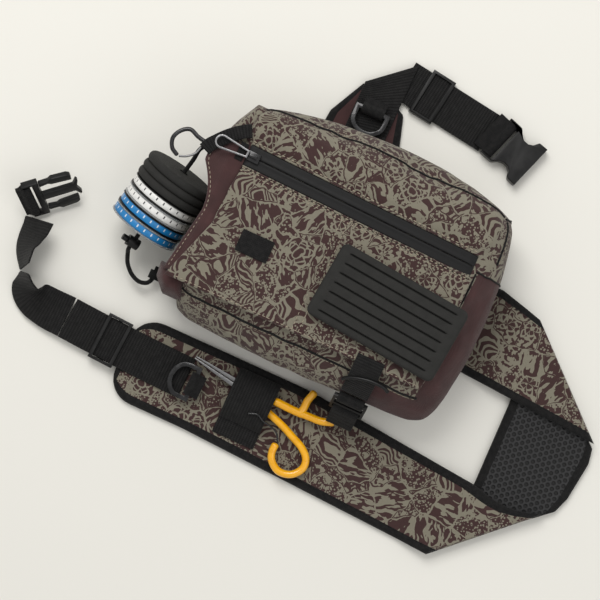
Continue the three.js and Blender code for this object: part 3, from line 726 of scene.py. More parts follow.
def lathe(name, profile, material, segments=96):
    """A closed profile of (radius, height) turned about the spools' axis."""
    points, uvs, faces = [], [], []
    count = len(profile)
    for k in range(segments):
        a = 2 * math.pi * k / segments
        for r, h in profile:
            points.append(along_stack(h, r, a))
            uvs.append((a * SPOOL["radius"] * MM, (h - profile[0][1]) * MM))
    for k in range(segments):
        n = (k + 1) % segments
        for i in range(count):
            j = (i + 1) % count
            faces.append([k * count + i, k * count + j, n * count + j, n * count + i])
    return build(name, points, faces, [material], uvs, sharp=40)


def stitches(name, line, pitch=4.2, length=2.6, radius=0.32, black=False):
    """A row of short threads along a line of layout points, sewn to the bag."""
    sides, lift, sunk = 6, 0.15, -0.1
    count = max(2, int(line_length(line) / pitch))
    marks = evenly(line, count * 4)
    points, faces = [], []
    for start, middle in zip(marks[:-1:4], marks[2::4]):
        ahead = (middle - start).normalized()
        side = Vector((0, 0, 1)).cross(ahead)
        side = side.normalized() if side.length > 0.01 else Vector((0, 1, 0))
        rise = ahead.cross(side)
        base = len(points)
        for step, size in ((0, 0.35), (0.25, 1), (0.75, 1), (1, 0.35)):
            centre = start + ahead * (length * step) + rise * (lift if 0 < step < 1 else sunk)
            for k in range(sides):
                a = 2 * math.pi * k / sides
                out = side * (radius * size * math.cos(a)) + rise * (radius * size * math.sin(a))
                points.append(centre + out)
        for ring in range(base, base + 3 * sides, sides):
            for k in range(sides):
                n = (k + 1) % sides
                faces.append([ring + k, ring + n, ring + sides + n, ring + sides + k])
        faces.append([base + k for k in range(sides)])
        faces.append([base + 3 * sides + k for k in range(sides)])
    piece = build(name, points, faces, [BINDING if black else STITCH])
    ready(piece, "black_webbing" if black else "maroon_cloth")


def box_stitches(name, corners, z):
    """Black threads sewn along a crossed box."""
    stitches(name, at_height(corners, z), 3.4, 2.2, FINE_THREAD, True)


def add_web(node, points, width, count, roll=(0, 0)):
    """Ribbed webbing along a line, in place of its CAD node."""
    piece = ribbon(node + "_ribbed", points, width, WEBBING["thick"], count, roll)
    ready(piece, "black_webbing", stands_for=[node])


def refine(node, material, slot, width):
    """A CAD node's shape with rounded edges."""
    source = frame["nodes"][node]
    mesh = source.data.copy()
    mesh.name = node + "_finished"
    mesh.materials.clear()
    mesh.materials.append(material)
    shaped = bmesh.new()
    shaped.from_mesh(mesh)
    bmesh.ops.remove_doubles(shaped, verts=shaped.verts, dist=1e-6)
    flat = math.radians(1.5)
    bmesh.ops.dissolve_limit(shaped, angle_limit=flat, verts=shaped.verts, edges=shaped.edges)
    for face in shaped.faces:
        face.material_index = 0
    shaped.to_mesh(mesh)
    shaped.free()
    piece = link(node + "_finished", mesh)
    bevel = piece.modifiers.new("round_edges", "BEVEL")
    bevel.width = width * MM
    bevel.segments = 3
    bevel.limit_method = "ANGLE"
    bevel.angle_limit = math.radians(32)
    bevel.harden_normals = False
    apply_modifiers(piece)
    piece.data.shade_smooth()
    piece.data.set_sharp_from_angle(angle=math.radians(38))
    return ready(piece, slot, source["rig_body"], [node])


def apply_modifiers(piece):
    """Swaps the piece's mesh for the one that its modifiers make."""
    graph = bpy.context.evaluated_depsgraph_get()
    graph.update()
    mesh = bpy.data.meshes.new_from_object(piece.evaluated_get(graph))
    piece.modifiers.clear()
    piece.data = mesh


# ---------------------------------------------------------------- the cord first
def add_tether_cord():
    to_stack = [(-147, 47, 62), (-150, 43.5, 58), (-154, 38.5, 53.5)]
    in_stack = [along_stack(h) for h in (44, 32, 10, -14, -34, -44, -54)]
    back_to_bag = [(-177.5, -68, 22), (-174, -77.5, 16), (-166.5, -85, 14), (-157.5, -88, 14),
        (-150.8, -85.5, 14), (-148.4, -80, 14), (-148.4, -75, 14), (-148.4, -69, 14)]
    line = smooth_line(to_stack + in_stack + back_to_bag, 120)
    curve = bpy.data.curves.new("tether_cord_line", "CURVE")
    curve.dimensions = "3D"
    curve.bevel_depth = CORD_RADIUS * MM
    curve.bevel_resolution = 3
    curve.use_fill_caps = True
    spline = curve.splines.new("POLY")
    spline.points.add(len(line) - 1)
    for point, place in zip(spline.points, line):
        point.co = (*at(*place), 1)
    curve.materials.append(BINDING)
    piece = link("tether_cord_line", curve)
    ready(piece, "black_webbing", stands_for=["tether_cord"])
    lock = refine("cord_lock", PLASTIC, "black_plastic", 0.5)
    button = refine("cord_lock_button", PLASTIC, "black_plastic", 0.6)
    tuple(at(*to_stack[0]))
    line_length(line) * MM


# ---------------------------------------------------------------- body of the bag
LEVELS = [
    {"z": BODY_Z, "left": -122, "right": 122, "low": -97, "high": 94, "bulge": 0.4},
    {"z": 16, "left": -124, "right": 125, "low": -102, "high": 98, "bulge": 0.8},
    {"z": 30, "left": -124.5, "right": 127, "low": -104, "high": 100, "bulge": 1},
    {"z": 46, "left": -124.5, "right": 127, "low": -103, "high": 100, "bulge": 1},
    {"z": 62, "left": -124.5, "right": 125, "low": -96, "high": 99, "bulge": 1},
    {"z": 77, "left": -124.5, "right": 119, "low": -84, "high": 97, "bulge": 0.7},
    {"z": FRONT_Z, "left": -123, "right": 110, "low": -75, "high": 92, "bulge": 0.3},
]
BULGE = {"right": 8, "high": 11, "low": 1.5}
SHELL_INSET = 2.0  # the loft starts inside the real surface, because it swells


def shell_point(u, v, w, inset=0.0):
    """A layout point of the body's shell. u, v and w run from -1 to 1 along X, Y and Z."""
    step = (w + 1) / 2 * (len(LEVELS) - 1)
    start = min(int(step), len(LEVELS) - 2)
    lower, upper = LEVELS[start], LEVELS[start + 1]

    def level(key):
        return lower[key] + (upper[key] - lower[key]) * (step - start)

    bulge = level("bulge")
    left = level("left") + inset
    right = level("right") + BULGE["right"] * bulge * (1 - v * v) - inset
    low = level("low") - BULGE["low"] * bulge * (1 - u * u) + inset
    high = level("high") + BULGE["high"] * bulge * (1 - u * u) - inset
    x = (left + right) / 2 + u * (right - left) / 2
    y = (low + high) / 2 + v * (high - low) / 2
    return x, y, level("z")


def squircle(angle, power):
    """A point on a square with round corners, from -1 to 1 each way."""
    c, s = math.cos(angle), math.sin(angle)
    size = (abs(c) ** power + abs(s) ** power) ** (-1 / power)
    return c * size, s * size


def zip_line(x):
    """Y of the zipper's centre line."""
    part = (x - ZIP["left"]) / (ZIP["right"] - ZIP["left"])
    return ZIP["y_left"] + (ZIP["y_right"] - ZIP["y_left"]) * part


def swell(piece, voxel, pressure, cap, frames=18):
    """Fills a soft shell with air as cloth, moving no point further than cap (mm)."""
    remesh = piece.modifiers.new("even_faces", "REMESH")
    remesh.mode = "VOXEL"
    remesh.voxel_size = voxel * MM
    apply_modifiers(piece)
    before = [v.co.copy() for v in piece.data.vertices]
    cloth = piece.modifiers.new("cloth", "CLOTH")
    cloth.settings.use_pressure = True
    cloth.settings.uniform_pressure_force = pressure
    cloth.settings.effector_weights.gravity = 0
    cloth.settings.tension_stiffness = 20
    cloth.settings.compression_stiffness = 20
    cloth.settings.bending_stiffness = 1.2
    cloth.point_cache.frame_end = frames
    for step in range(1, frames + 1):
        bpy.context.scene.frame_set(step)
    apply_modifiers(piece)
    bpy.context.scene.frame_set(1)
    for vertex, start in zip(piece.data.vertices, before):
        move = vertex.co - start
        if move.length > cap * MM:
            vertex.co = start + move.normalized() * cap * MM
    subdivide = piece.modifiers.new("finer", "SUBSURF")
    subdivide.levels = 1
    apply_modifiers(piece)


def add_body():
    """The padded body: walls of rings, closed by a flat bottom and a slightly domed top."""
    around, heights, corner_power, dome = 88, 16, 14, 0.6
    section = [squircle(2 * math.pi * k / around, corner_power) for k in range(around)]
    points, faces = [], []

    def add_ring(w, share=1.0, rise=0.0):
        for u, v in section:
            x, y, z = shell_point(u * share, v * share, w, SHELL_INSET)
            points.append((x, y, z + rise))
        return len(points) - around

    def join_rings(rings):
        for a, b in zip(rings, rings[1:]):
            for k in range(around):
                n = (k + 1) % around
                faces.append([a + k, a + n, b + n, b + k])

    walls = [add_ring(w) for w in spaced(heights)]
    join_rings(walls)
    for start, w, height in ((walls[0], -1, 0.0), (walls[-1], 1, dome)):
        inward = [add_ring(w, share, height * (1 - share)) for share in (0.94, 0.8, 0.6, 0.4, 0.2)]
        join_rings([start, *inward])
        faces.append([inward[-1] + k for k in range(around)])
    piece = build("bag_body", points, faces, [BODY_CLOTH])
    swell(piece, voxel=4.6, pressure=3.0, cap=5)
    settle_cloth(piece)
    piece.data.materials.clear()
    piece.data.materials.append(BODY_CLOTH)
    piece.data.shade_smooth()
    ready(piece, "printed_cloth", stands_for=["main_shell", "right_gusset"])
    return piece


def settle_cloth(piece):
    """Creases the cloth, then keeps it below the zipper and the front panel, and off the back."""
    creases = ((24, 1.1), (60, 0.5))
    upper_part, panel_y = 60, 34
    channel = {"z": FRONT_Z - 1.9, "half": 12, "slope": 8, "rise": 2.4}
    for vertex in piece.data.vertices:
        shift = Vector()
        for fineness, size in creases:
            shift += noise.noise_vector(vertex.co * fineness) * size
        vertex.co += shift * MM
        x, y, z = vertex.co / MM + CENTRE
        if z > upper_part:
            beside = max(0.0, abs(y - zip_line(x)) - channel["half"])
            limit = channel["z"] + channel["rise"] * min(1.0, beside / channel["slope"])
            if y < panel_y:
                limit = FRONT_Z - 0.2
            z = min(z, limit)
        vertex.co.z = max(z, BODY_Z + 0.1) * MM


def surface_finder(piece):
    tree = BVHTree.FromObject(piece, bpy.context.evaluated_depsgraph_get())

    def hug(points, lift):
        """Points moved onto the piece's surface, and out from it by lift."""
        found = []
        for p in points:
            place, normal, _, _ = tree.find_nearest(at(*p))
            place = place + normal * lift * MM
            found.append(place / MM + CENTRE)
        return found
    return hug


def add_body_seams(hug):
    """Bound seams of the body with their stitches."""
    def rim(u0, v0, u1, v1, w, count=40):
        return [Vector(shell_point(u, v, w))
            for u, v in zip(spaced(count, u0, u1), spaced(count, v0, v1))]

    def bind(name, line, radius, count, lift=0.2):
        ready(tube(name, hug(line, lift), radius, count, BINDING, 8), "black_webbing")

    seams = {
        "upper_seam": rim(-0.97, 1, 0.97, 1, 0.74),
        "right_seam": rim(1, 0.95, 1, 0.5, 0.7, 14),
        "lower_seam": rim(-0.97, -1, 0.9, -1, 0.72),
        "corner_seam": [Vector(shell_point(0.985, 0.985, w)) for w in spaced(14, -0.9, 0.7)],
    }
    for name, line in seams.items():
        bind(name, line, 1.0, len(line) * 2, 0.3)
        lower = [p - Vector((0, 0, 3.4)) for p in line]
        stitches(name + "_stitches", hug(lower, 0.1))
    edge = at_height([(107.2 + 0.05 * y, y) for y in spaced(20, -70, 36)], FRONT_Z)
    bind("gusset_seam", edge, 0.8, 40)
    across = at_height([(x, 38) for x in spaced(6, 109, 121)], FRONT_Z)
    down = [Vector((127, 38, z)) for z in spaced(8, 84, 20)]
    bind("gusset_top_seam", across + down, 0.8, 30)


def add_back_panel():
    """Padded mesh back of the body, with its quilted channels."""
    half_x, half_y, radius = 122, 95, 16

    def spot(u, v):
        y = v * half_y
        over = max(0.0, abs(y) - (half_y - radius))
        reach = half_x - (radius - math.sqrt(max(0.0, radius * radius - over * over)))
        return u * reach, y - 1.5

    def padding(u, v):
        channel = 1.6 * (abs(math.sin(1.5 * math.pi * (u + 1))) ** 0.35 - 1)
        near = min((1 - abs(u)) * half_x, (1 - abs(v)) * half_y)
        return (BODY_Z - GAP - 0.2) * edge_round(near, 4), channel * edge_round(near, 12)

    def top(u, v):
        x, y = spot(u, v)
        body, _ = padding(u, v)
        return x, y, (BODY_Z - GAP) / 2 + body / 2

    def bottom(u, v):
        x, y = spot(u, v)
        body, channel = padding(u, v)
        return x, y, (BODY_Z - GAP) / 2 - body / 2 - channel

    edge = (1, 0.997, 0.99, 0.975, 0.95)
    grid = [-e for e in edge] + spaced(50, -0.92, 0.92) + list(reversed(edge))
    piece = closed_sheet("back_padding", grid, grid, top, bottom, [MESH_CLOTH])
    ready(piece, "mesh_cloth", stands_for=["back_panel"])


def add_front_panel():
    """Front pocket: a printed panel with folded edges and a double seam down it."""
    z = FRONT_Z + GAP
    thick = 2.4
    seam_x, seam_gap = -13, 3

    def spot(u, v):
        top_y = 36.0 - 7.4 * (u + 1) / 2
        low_y = -73.2
        y = low_y + (top_y - low_y) * (v + 1) / 2
        left = -115 - 15.5 * max(0.0, (-17.5 - y) / 46.5) + 4 * max(0.0, (y - 15) / 20)
        left += 1.5 * math.exp(-((y - 9) / 12) ** 2)
        right = 105.5 - 2 * max(0.0, (-60 - y) / 14)
        return left + (right - left) * (u + 1) / 2, y

    def loft(x, y, u, v):
        near = min((1 - abs(u)) * 110, (1 - abs(v)) * 54)
        seam = sum(0.7 * math.exp(-((x - seam_x - side * seam_gap) / 1.1) ** 2) for side in (-1, 1))
        puff = 0.55 * (math.sin(x / 17) * math.sin(y / 13) + 0.5 * math.sin(x / 8 + y / 10))
        return edge_round(near, 2.2), (puff - seam) * edge_round(near, 16)

    def top(u, v):
        x, y = spot(u, v)
        body, puff = loft(x, y, u, v)
        return x, y, z + thick / 2 + thick / 2 * body + puff * 0.6

    def bottom(u, v):
        x, y = spot(u, v)
        body, _ = loft(x, y, u, v)
        return x, y, z + thick / 2 - thick / 2 * body

    edge = (1, 0.998, 0.992, 0.98, 0.96)
    us = [-e for e in edge] + spaced(150, -0.94, 0.94) + list(reversed(edge))
    vs = [-e for e in edge] + spaced(50, -0.93, 0.93) + list(reversed(edge))
    piece = closed_sheet("front_pocket", us, vs, top, bottom, [PRINTED])
    ready(piece, "printed_cloth", stands_for=["front_pocket_panel"])
    height = z + thick + 0.1
    for name, side in (("left", -1), ("right", 1)):
        line = [(seam_x + seam_gap * side, y) for y in spaced(10, -71, 33)]
        stitches("pocket_stitches_" + name, at_height(line, height - 0.5))
    upper = [(x, 33.6 - 7.4 * (x + 115) / 220) for x in spaced(10, -112, 103)]
    stitches("pocket_edge_stitches", at_height(upper, height))
    lower = [(x, -71) for x in spaced(10, -124, 101)]
    stitches("pocket_hem_stitches", at_height(lower, height))


def add_tape(name, low, high):
    """One coated tape of the zipper, between two distances from its centre line."""
    thick = 1.5
    z = FRONT_Z - 1.7
    width = ZIP["width"] / 2 - GAP
    start, length = ZIP["left"] + 1, ZIP["right"] - ZIP["left"] - 2

    def spot(u, v):
        x = start + length * (u + 1) / 2
        return x, zip_line(x) + low + (high - low) * (v + 1) / 2

    def top(u, v):
        x, y = spot(u, v)
        near = min((1 - abs(v)) * width / 2, (1 - abs(u)) * 100)
        ridge = 0.3 * math.exp(-((abs(y - zip_line(x)) - 1.6) / 0.9) ** 2)
        return x, y, z + thick / 2 + thick / 2 * edge_round(near, 0.7) + ridge

    def bottom(u, v):
        x, y = spot(u, v)
        return x, y, z + thick / 2 - thick / 2 * edge_round((1 - abs(v)) * width / 2, 0.7)

    rows = [-1, -0.97, -0.9, -0.78, -0.6, -0.3, 0, 0.3, 0.6, 0.78, 0.9, 0.97, 1]
    piece = closed_sheet(name + "_coated", spaced(70), rows, top, bottom, [COATED])
    ready(piece, "coated_tape", stands_for=[name])


def add_zipper():
    """Two coated tapes that meet over the hidden teeth, and the folds sewn beside them."""
    half = ZIP["width"] / 2 - GAP
    add_tape("zipper_tape_upper", ZIP["slit"], half)
    add_tape("zipper_tape_lower", -half, -ZIP["slit"])
    places = spaced(20, ZIP["left"] + 2, ZIP["right"] - 2)
    for name, offset, height, aside in (("zip_fold_upper", half + 1.1, 0.3, 1.8),
            ("zip_fold_lower", -half - 1.1, 1.4, -1.4)):
        line = at_height([(x, zip_line(x) + offset) for x in places], FRONT_Z + height)
        ready(tube(name, line, 0.9, 60, PRINTED, 8), "printed_cloth")
        dashes = [p + Vector((0, aside, 0.6)) for p in line]
        stitches(name + "_stitches", dashes, 4.4, 2.8, 0.42)
    start = (ZIP["left"] - 7.5, zip_line(-120), FRONT_Z + 1)
    stop = (ZIP["left"] - 0.5, zip_line(-113), FRONT_Z + 1)
    tab = ribbon("zipper_end_cloth", [start, stop], 16, 1.2, 6, material=BINDING)
    ready(tab, "black_webbing", stands_for=["zipper_end_tab"])


def hem(y):
    """X of the side pocket flap's free edge."""
    if y > -10:
        return -128 - 16.5 * min(1.0, ((y + 10) / 41) ** 2)
    return -128 + (y + 10) / 6


def add_side_pocket():
    """Maroon flap over the mouth of the side pocket, and the cloth walls above and below it."""
    inner = -112

    def spot(u, v):
        y = -6.5 + 61.5 * v
        edge_x = hem(y) + 0.3
        x = edge_x + (inner - edge_x) * (u + 1) / 2
        return x, y

    def height(x):
        """The flap falls away past the body's edge."""
        near_edge = max(0.0, (-118 - x) / 8) if x > -126 else 1.0
        past_edge = max(0.0, -124.8 - x)
        return FRONT_Z + 0.25 - 0.45 * past_edge - near_edge

    def top(u, v):
        x, y = spot(u, v)
        near = min((1 + u) * 10, (1 - abs(v)) * 60)
        fold = 0.5 * math.sin(y / 9 + x / 14)
        rise = fold * edge_round((1 + u) * 12, 8) - 0.6 + 0.6 * edge_round(near, 1.2)
        return x, y, height(x) + rise

    def bottom(u, v):
        x, y, z = top(u, v)
        return x, y, z - 1.1

    us = [-1, -0.98, -0.93, *spaced(14, -0.85, 1)]
    piece = closed_sheet("side_flap", us, spaced(60), top, bottom, [MAROON_CLOTH])
    ready(piece, "maroon_cloth")
    line = [Vector((hem(y) + 3, y, height(hem(y) + 3) + 0.1)) for y in spaced(20, -65, 52)]
    stitches("side_flap_stitches", line)
    add_flare("upper_flare", [(-123, 96), (-134, 75), (-144.5, 49)], -106, 84, PRINTED,
        "printed_cloth", ["side_pocket"])
    add_flare("lower_flare", [(-144.5, -63), (-143, -77), (-132, -89)], -112, 81, MAROON_CLOTH,
        "maroon_cloth", [])


def add_flare(name, outer, inner_x, height, material, slot, stands_for):
    """A cloth wall of the side pocket, from its outer line to inner_x."""
    inner = [(inner_x, y) for _, y in outer]
    piece = strap_strip(name, at_height(outer), at_height(inner), 16, lambda p: BODY_Z,
        height - BODY_Z, [material], border=None, inner=8, soft=11)
    ready(piece, slot, stands_for=stands_for)


# ---------------------------------------------------------------- straps
def add_shoulder_strap():
    """Three lengths of the padded strap, folded under at the right."""
    thick, high, ramp_length = STRAP["thick"] - GAP, STRAP["high"], 28

    def climb(start):
        return lambda p: high * min(1.0, max(0.0, (p.x - start) / ramp_length))

    upper_z, lower_z = climb(140), climb(143)

    def upper_edge(x):
        return Vector((x, 40.5 - max(0.0, x - 142) * 0.28, 0))

    def lower_edge(x):
        return Vector((x, -42 - max(0.0, x - 133) * 0.07, 0))

    fold_start, fold_length = 190, 76

    def top(x):
        past = x - fold_start
        if past > 0:
            return Vector((x, -129 - 9 * math.sin(past / fold_length * math.pi) + past * 0.09, 0))
        return Vector((x, -113.5 - max(0.0, x - 20) * 0.09, 0))

    def bottom(x):
        return Vector((x, -191.5 - max(0.0, x + 70) * 0.046, 0))

    end_x, corner = -146, 24

    def side_line(edge, side, stop):
        """The round end's quarter circle, then the strap's edge."""
        turns = [math.radians(15 * i) for i in range(6)]
        quarter = [edge(end_x) + corner * Vector((1 - math.cos(a), side * (1 - math.sin(a)), 0))
            for a in turns]
        return quarter + [edge(x) for x in spaced(60, end_x + corner, stop)]

    upper = strap_strip("strap_upper_length", [upper_edge(x) for x in spaced(30, 126, 182)],
        [lower_edge(x) for x in spaced(30, 126, 271)], 56, upper_z, thick, [PRINTED, BINDING],
        lift=0.5, inner=12)
    outer_fold = [(272.5, -56), (275, -70), (270.5, -106), (265, -121), (253, -131)]
    inner_fold = [(182, 27), (188, -50), (189, -129), (175, -201)]
    middle = strap_strip("strap_mesh_length", at_height(outer_fold), at_height(inner_fold), 60,
        lambda p: 0.0, thick, [MESH_CLOTH, BINDING], lift=0.6, inner=14)
    lower = strap_strip("strap_lower_length", side_line(top, -1, 256), side_line(bottom, 1, 175),
        110, lower_z, thick, [PRINTED, BINDING], lift=0.5, inner=12, bound_ends=(True, False))
    for piece, node, slot in ((upper, "strap_upper", "printed_cloth"),
            (middle, "strap_middle", "mesh_cloth"), (lower, "strap_lower", "printed_cloth")):
        ready(piece, slot, stands_for=[node])
    inset = STRAP["binding"] - 1.6
    for name, edge, side, start, stop, z in (
            ("strap_top_stitches", top, -1, -120, 236, lower_z),
            ("strap_low_stitches", bottom, 1, -120, 170, lower_z),
            ("upper_top_stitches", upper_edge, -1, 140, 180, upper_z),
            ("upper_low_stitches", lower_edge, 1, 140, 262, upper_z)):
        edge_points = [edge(x) + Vector((0, side * inset, 0)) for x in spaced(40, start, stop)]
        line = [p + Vector((0, 0, z(p) + thick + 0.05)) for p in edge_points]
        stitches(name, line, 4.6, 2.6, FINE_THREAD, True)


def add_wing():
    """Padded wing that carries the belt, with its webbing sewn on in a crossed box."""
    left = at_height([(-70, 92), (-67, 124.6), (-50, 158.8)])
    right = at_height([(8, 92), (5.3, 114), (-5, 147), (-13.5, 151), (-14.5, 160)])
    wing = strap_strip("wing_padding", left, right, 30, lambda p: 0.0, WING_Z,
        [MAROON_CLOTH, BINDING], border=6, lift=0.4, bound_ends=(False, True))
    ready(wing, "maroon_cloth", stands_for=["strap_wing"])
    z = WING_Z + GAP
    web = flat_webbing("wing_webbing_ribbed", at_height([(-49, 112), (-49, 160.5)]),
        at_height([(-11, 112), (-11, 193.5)]), z, 20)
    ready(web, "black_webbing", stands_for=["wing_webbing"])
    corners = [(-45, 116), (-15, 116), (-15, 146), (-45, 116), (-45, 146), (-15, 116)]
    box_stitches("wing_box_stitches", corners, z + WEBBING["thick"] + 0.05)


def flat_webbing(name, left, right, z, count):
    """Level webbing between two side lines."""
    return strap_strip(name, left, right, count, lambda p: z, WEBBING["thick"], [WEBBING_RIBS],
        border=None, inner=8, soft=0.8)


def on_belt(x, y):
    """A point of the belt's own plane, in the layout."""
    return turned([(x, y, 0)], "Z", BELT["turn"], (BELT["x"], BELT["y"], BELT["z"]))[0]


def add_webbings():
    """The belt's webbing, and the waist webbing as it folds over and runs to the plug."""
    width, thick = WEBBING["width"], WEBBING["thick"]
    ends = (5, BELT["length"])
    belt = flat_webbing("belt_webbing_ribbed", [on_belt(x, width / 2) for x in ends],
        [on_belt(x, -width / 2) for x in ends], BELT["z"], 50)
    ready(belt, "black_webbing", stands_for=["belt_webbing"])
    middle = WAIST_Z + thick / 2
    waist = at_height([(-203.6, -143.8), (-180, -145.3), (-157.5, -146.5), (-130, -147.9),
        (-84, -149.2)], middle)
    add_web("waist_webbing", waist, width, 60)
    fold = [(-204.4, -143.6, middle), (-224, -142.8, 8.6), (-243, -138.6, 13), (-250.5, -131, 18),
        (-254, -122.6, 19.1)]
    add_web("webbing_fold", fold, width, 40, (0, -8, -20, -46, -70))
    plug = [(-255.9, -118.4, 18.9), (-259, -111, 17.9), (-262, -102, 16.2), (-262.5, -92, 14.6),
        (-262, -83, 13.4), (-262.4, -74.5, 12.8)]
    add_web("plug_webbing", plug, width, 40, (-70, -60, -50, -43, -38))
    corners = [(-132, -133), (-108, -134), (-108, -162), (-132, -161), (-132, -133),
        (-108, -162), (-108, -134), (-132, -161)]
    box_stitches("waist_box_stitches", corners, WAIST_Z + thick + 0.05)


def add_tabs():
    """The lower edge's tab with its bar and split ring, and the tab that the clip hangs on."""
    x = TAB["x"]
    tab = [(x, -66, FRONT_Z + 4.8), (x, -73.5, FRONT_Z + 4.4), (x, -82, 85.5), (x, -92, 75),
        (x, -100.5, 63)]
    add_web("bottom_tab", tab, TAB["width"], 30)
    keeper = [(41, -91.5, 77.5), (44, -89, 80.5), (60, -84.2, 85.8), (76, -84, 86.5), (80, -86, 84)]
    ready(tube("tab_keeper_bar", keeper, 1.7, 40, PLASTIC, 12), "black_plastic")
    bright = [(45.3, -122.5, 26), (49.5, -120.6, 26.5), (55, -116.5, 26.5), (59.9, -111.9, 26)]
    ready(tube("tab_split_ring_bright", bright, 1.4, 30, STEEL, 12), "steel", "tab_ring")
    ring = [(46, -115, 24), (46.5, -121, 23.5), (50.5, -126, 23), (57, -127.7, 22.8),
        (63.5, -125, 23), (67.2, -119.5, 23.5), (67.4, -115, 24)]
    ready(tube("tab_split_ring", ring, 1.5, 50, BLACK_METAL, 12), "black_metal", "tab_ring")
    tether = [(-116, 68, 90.2), (-121, 65.3, 89.7), (-127, 61, 89.4), (-134, 55, 88),
        (-140, 48.5, 86), (-145, 42.5, 83.6), (-147.3, 37.5, 82.2)]
    add_web("tether_tab", tether, 12, 26)


def add_sleeve():
    """Elastic sleeve arched over the forceps."""
    floor = STRAP["thick"] + GAP
    thick = 1.7

    def spot(u, v):
        y = -151 + 31.5 * v
        crown = 14.4 * max(0.0, 1 - ((y + 143) / 24) ** 2) ** 0.6
        return -24 + 20 * u, y, floor + crown

    def top(u, v):
        x, y, z = spot(u, v)
        gather = 0.25 * math.sin(u * 22)
        return x, y, z + thick + gather

    def bottom(u, v):
        x, y, z = spot(u, v)
        return x, y, z + 0.1

    piece = closed_sheet("tool_sleeve_elastic", spaced(24), spaced(70), top, bottom,
        [WEBBING_RIBS])
    ready(piece, "black_webbing", stands_for=["tool_sleeve"])


def add_patches():
    """Plain woven label, and the foam fly patch on its hook panel."""
    z = FRONT_Z + 3 + GAP
    label_left, label_right, label_high, label_low = -88, -58.9, -10.6, -30.1
    high_edge = at_height([(label_left, label_high), (label_right, label_high)])
    low_edge = at_height([(label_left, label_low), (label_right, label_low)])
    label = strap_strip("plain_label", high_edge, low_edge, 14, lambda p: z + 0.1, 1.1, [BINDING],
        border=None, inner=6, soft=0.6)
    ready(label, "black_webbing", stands_for=["logo_patch"])
    width, height, thick, radius = PATCH["width"], PATCH["height"], PATCH["thick"], 6

    def turn(x, y, z_at):
        return turned([(x, y, z_at)], "Z", PATCH["turn"], (PATCH["x"], PATCH["y"], 0))[0]

    slit_rows = [-27 + 9 * i for i in range(7)]
    edges = [height / 2 - d for d in (0, 0.4, 1.2, 2.4, 4)]
    beside = (-3.5, -1.2, -0.55, 0, 0.55, 1.2, 3.5)
    rows = sorted({round(y + d, 2) for y in slit_rows for d in beside})
    inner_rows = [y for y in rows if abs(y) < edges[-1] - 0.1]
    vs = [-e for e in edges] + inner_rows + list(reversed(edges))

    def spot(u, y):
        over = max(0.0, abs(y) - (height / 2 - radius))
        reach = width / 2 - (radius - math.sqrt(max(0.0, radius * radius - over * over)))
        return u * reach, y

    def round_off(x, y):
        near = min(width / 2 - abs(x), height / 2 - abs(y))
        return edge_round(near, 2.4)

    slit_depth, slit_end = 3.2, 9
    middle = z + 1.5 + thick / 2

    def face_top(u, y):
        x, y = spot(u, y)
        cut = 0.0
        if abs(x) < width / 2 - slit_end:
            cut = max(math.exp(-((y - s) / 0.5) ** 2) for s in slit_rows) * slit_depth
        return turn(x, y, middle + thick / 2 * round_off(x, y) - cut)

    def face_bottom(u, y):
        x, y = spot(u, y)
        return turn(x, y, middle - thick / 2 * round_off(x, y))

    us = [-1, -0.994, -0.98, -0.95, -0.9, *spaced(60, -0.853, 0.853), 0.9, 0.95, 0.98, 0.994, 1]
    foam = closed_sheet("fly_patch_foam", us, vs, face_top, face_bottom, [FOAM_CLOTH])
    ready(foam, "dark_foam", "fly_patch", ["fly_patch"])

    def hook_face(lift):
        return lambda u, v: turn(-3 + u * (width / 2 - 4), v * (height / 2 - 5), z + lift)

    hook = closed_sheet("hook_panel", spaced(20), spaced(12), hook_face(1.2), hook_face(0.1),
        [BINDING])
    ready(hook, "black_webbing", stands_for=["patch_hook_panel"])


# ---------------------------------------------------------------- gear
def add_stack():
    """Four spools with their printed bands, and the ridged foam winder beside them."""
    radius, width, bore = SPOOL["radius"], SPOOL["width"], SPOOL["bore"]
    hub, rim = 22, 1.3
    flange = [(bore, 0), (bore, width), (radius - 0.5, width), (radius, width - 0.4),
        (radius, width - rim + 0.3), (radius - 0.4, width - rim), (hub, width - rim), (hub, rim),
        (radius - 0.4, rim), (radius, rim - 0.3), (radius, 0.4), (radius - 0.5, 0)]
    band = [(hub + GAP, rim + GAP), (radius - 1.3, rim + GAP), (radius - 0.9, rim + 0.9),
        (radius - 0.9, width - rim - 0.9), (radius - 1.3, width - rim - GAP),
        (hub + GAP, width - rim - GAP)]
    clear = (CLEAR, "clear_plastic")
    black = (PLASTIC, "black_plastic")
    blue = (BLUE_BAND, "blue_band")
    white = (WHITE_BAND, "white_band")
    looks = ((clear, blue), (black, blue), (clear, white), (black, white))
    for i, (spool_look, band_look) in enumerate(looks):
        base = SPOOL["first"] + i * SPOOL["pitch"]
        body = f"spool_{i + 1}"
        for part, node, profile, (material, slot) in (
                ("flanges", "tippet_spool", flange, spool_look),
                ("band", "spool_band", band, band_look)):
            piece = lathe(f"{body}_{part}", [(r, base + h) for r, h in profile], material)
            ready(piece, slot, body, [f"{node}_{i + 1}"])
    start = SPOOL["first"] + 4 * SPOOL["pitch"]
    ridge = FOAM["width"] / FOAM["lobes"]
    outline = [(bore, start)]
    for lobe in range(FOAM["lobes"]):
        for step in range(9):
            a = math.pi * step / 8
            h = start + ridge * (lobe + 0.5 - 0.5 * math.cos(a))
            outline.append((FOAM["radius"] - 4 + 4 * math.sin(a) ** 0.6, h))
    outline.append((bore, start + FOAM["width"]))
    foam = lathe("foam_winder", outline, FOAM_CLOTH)
    ready(foam, "dark_foam", "rigging_foam", ["rigging_foam"])


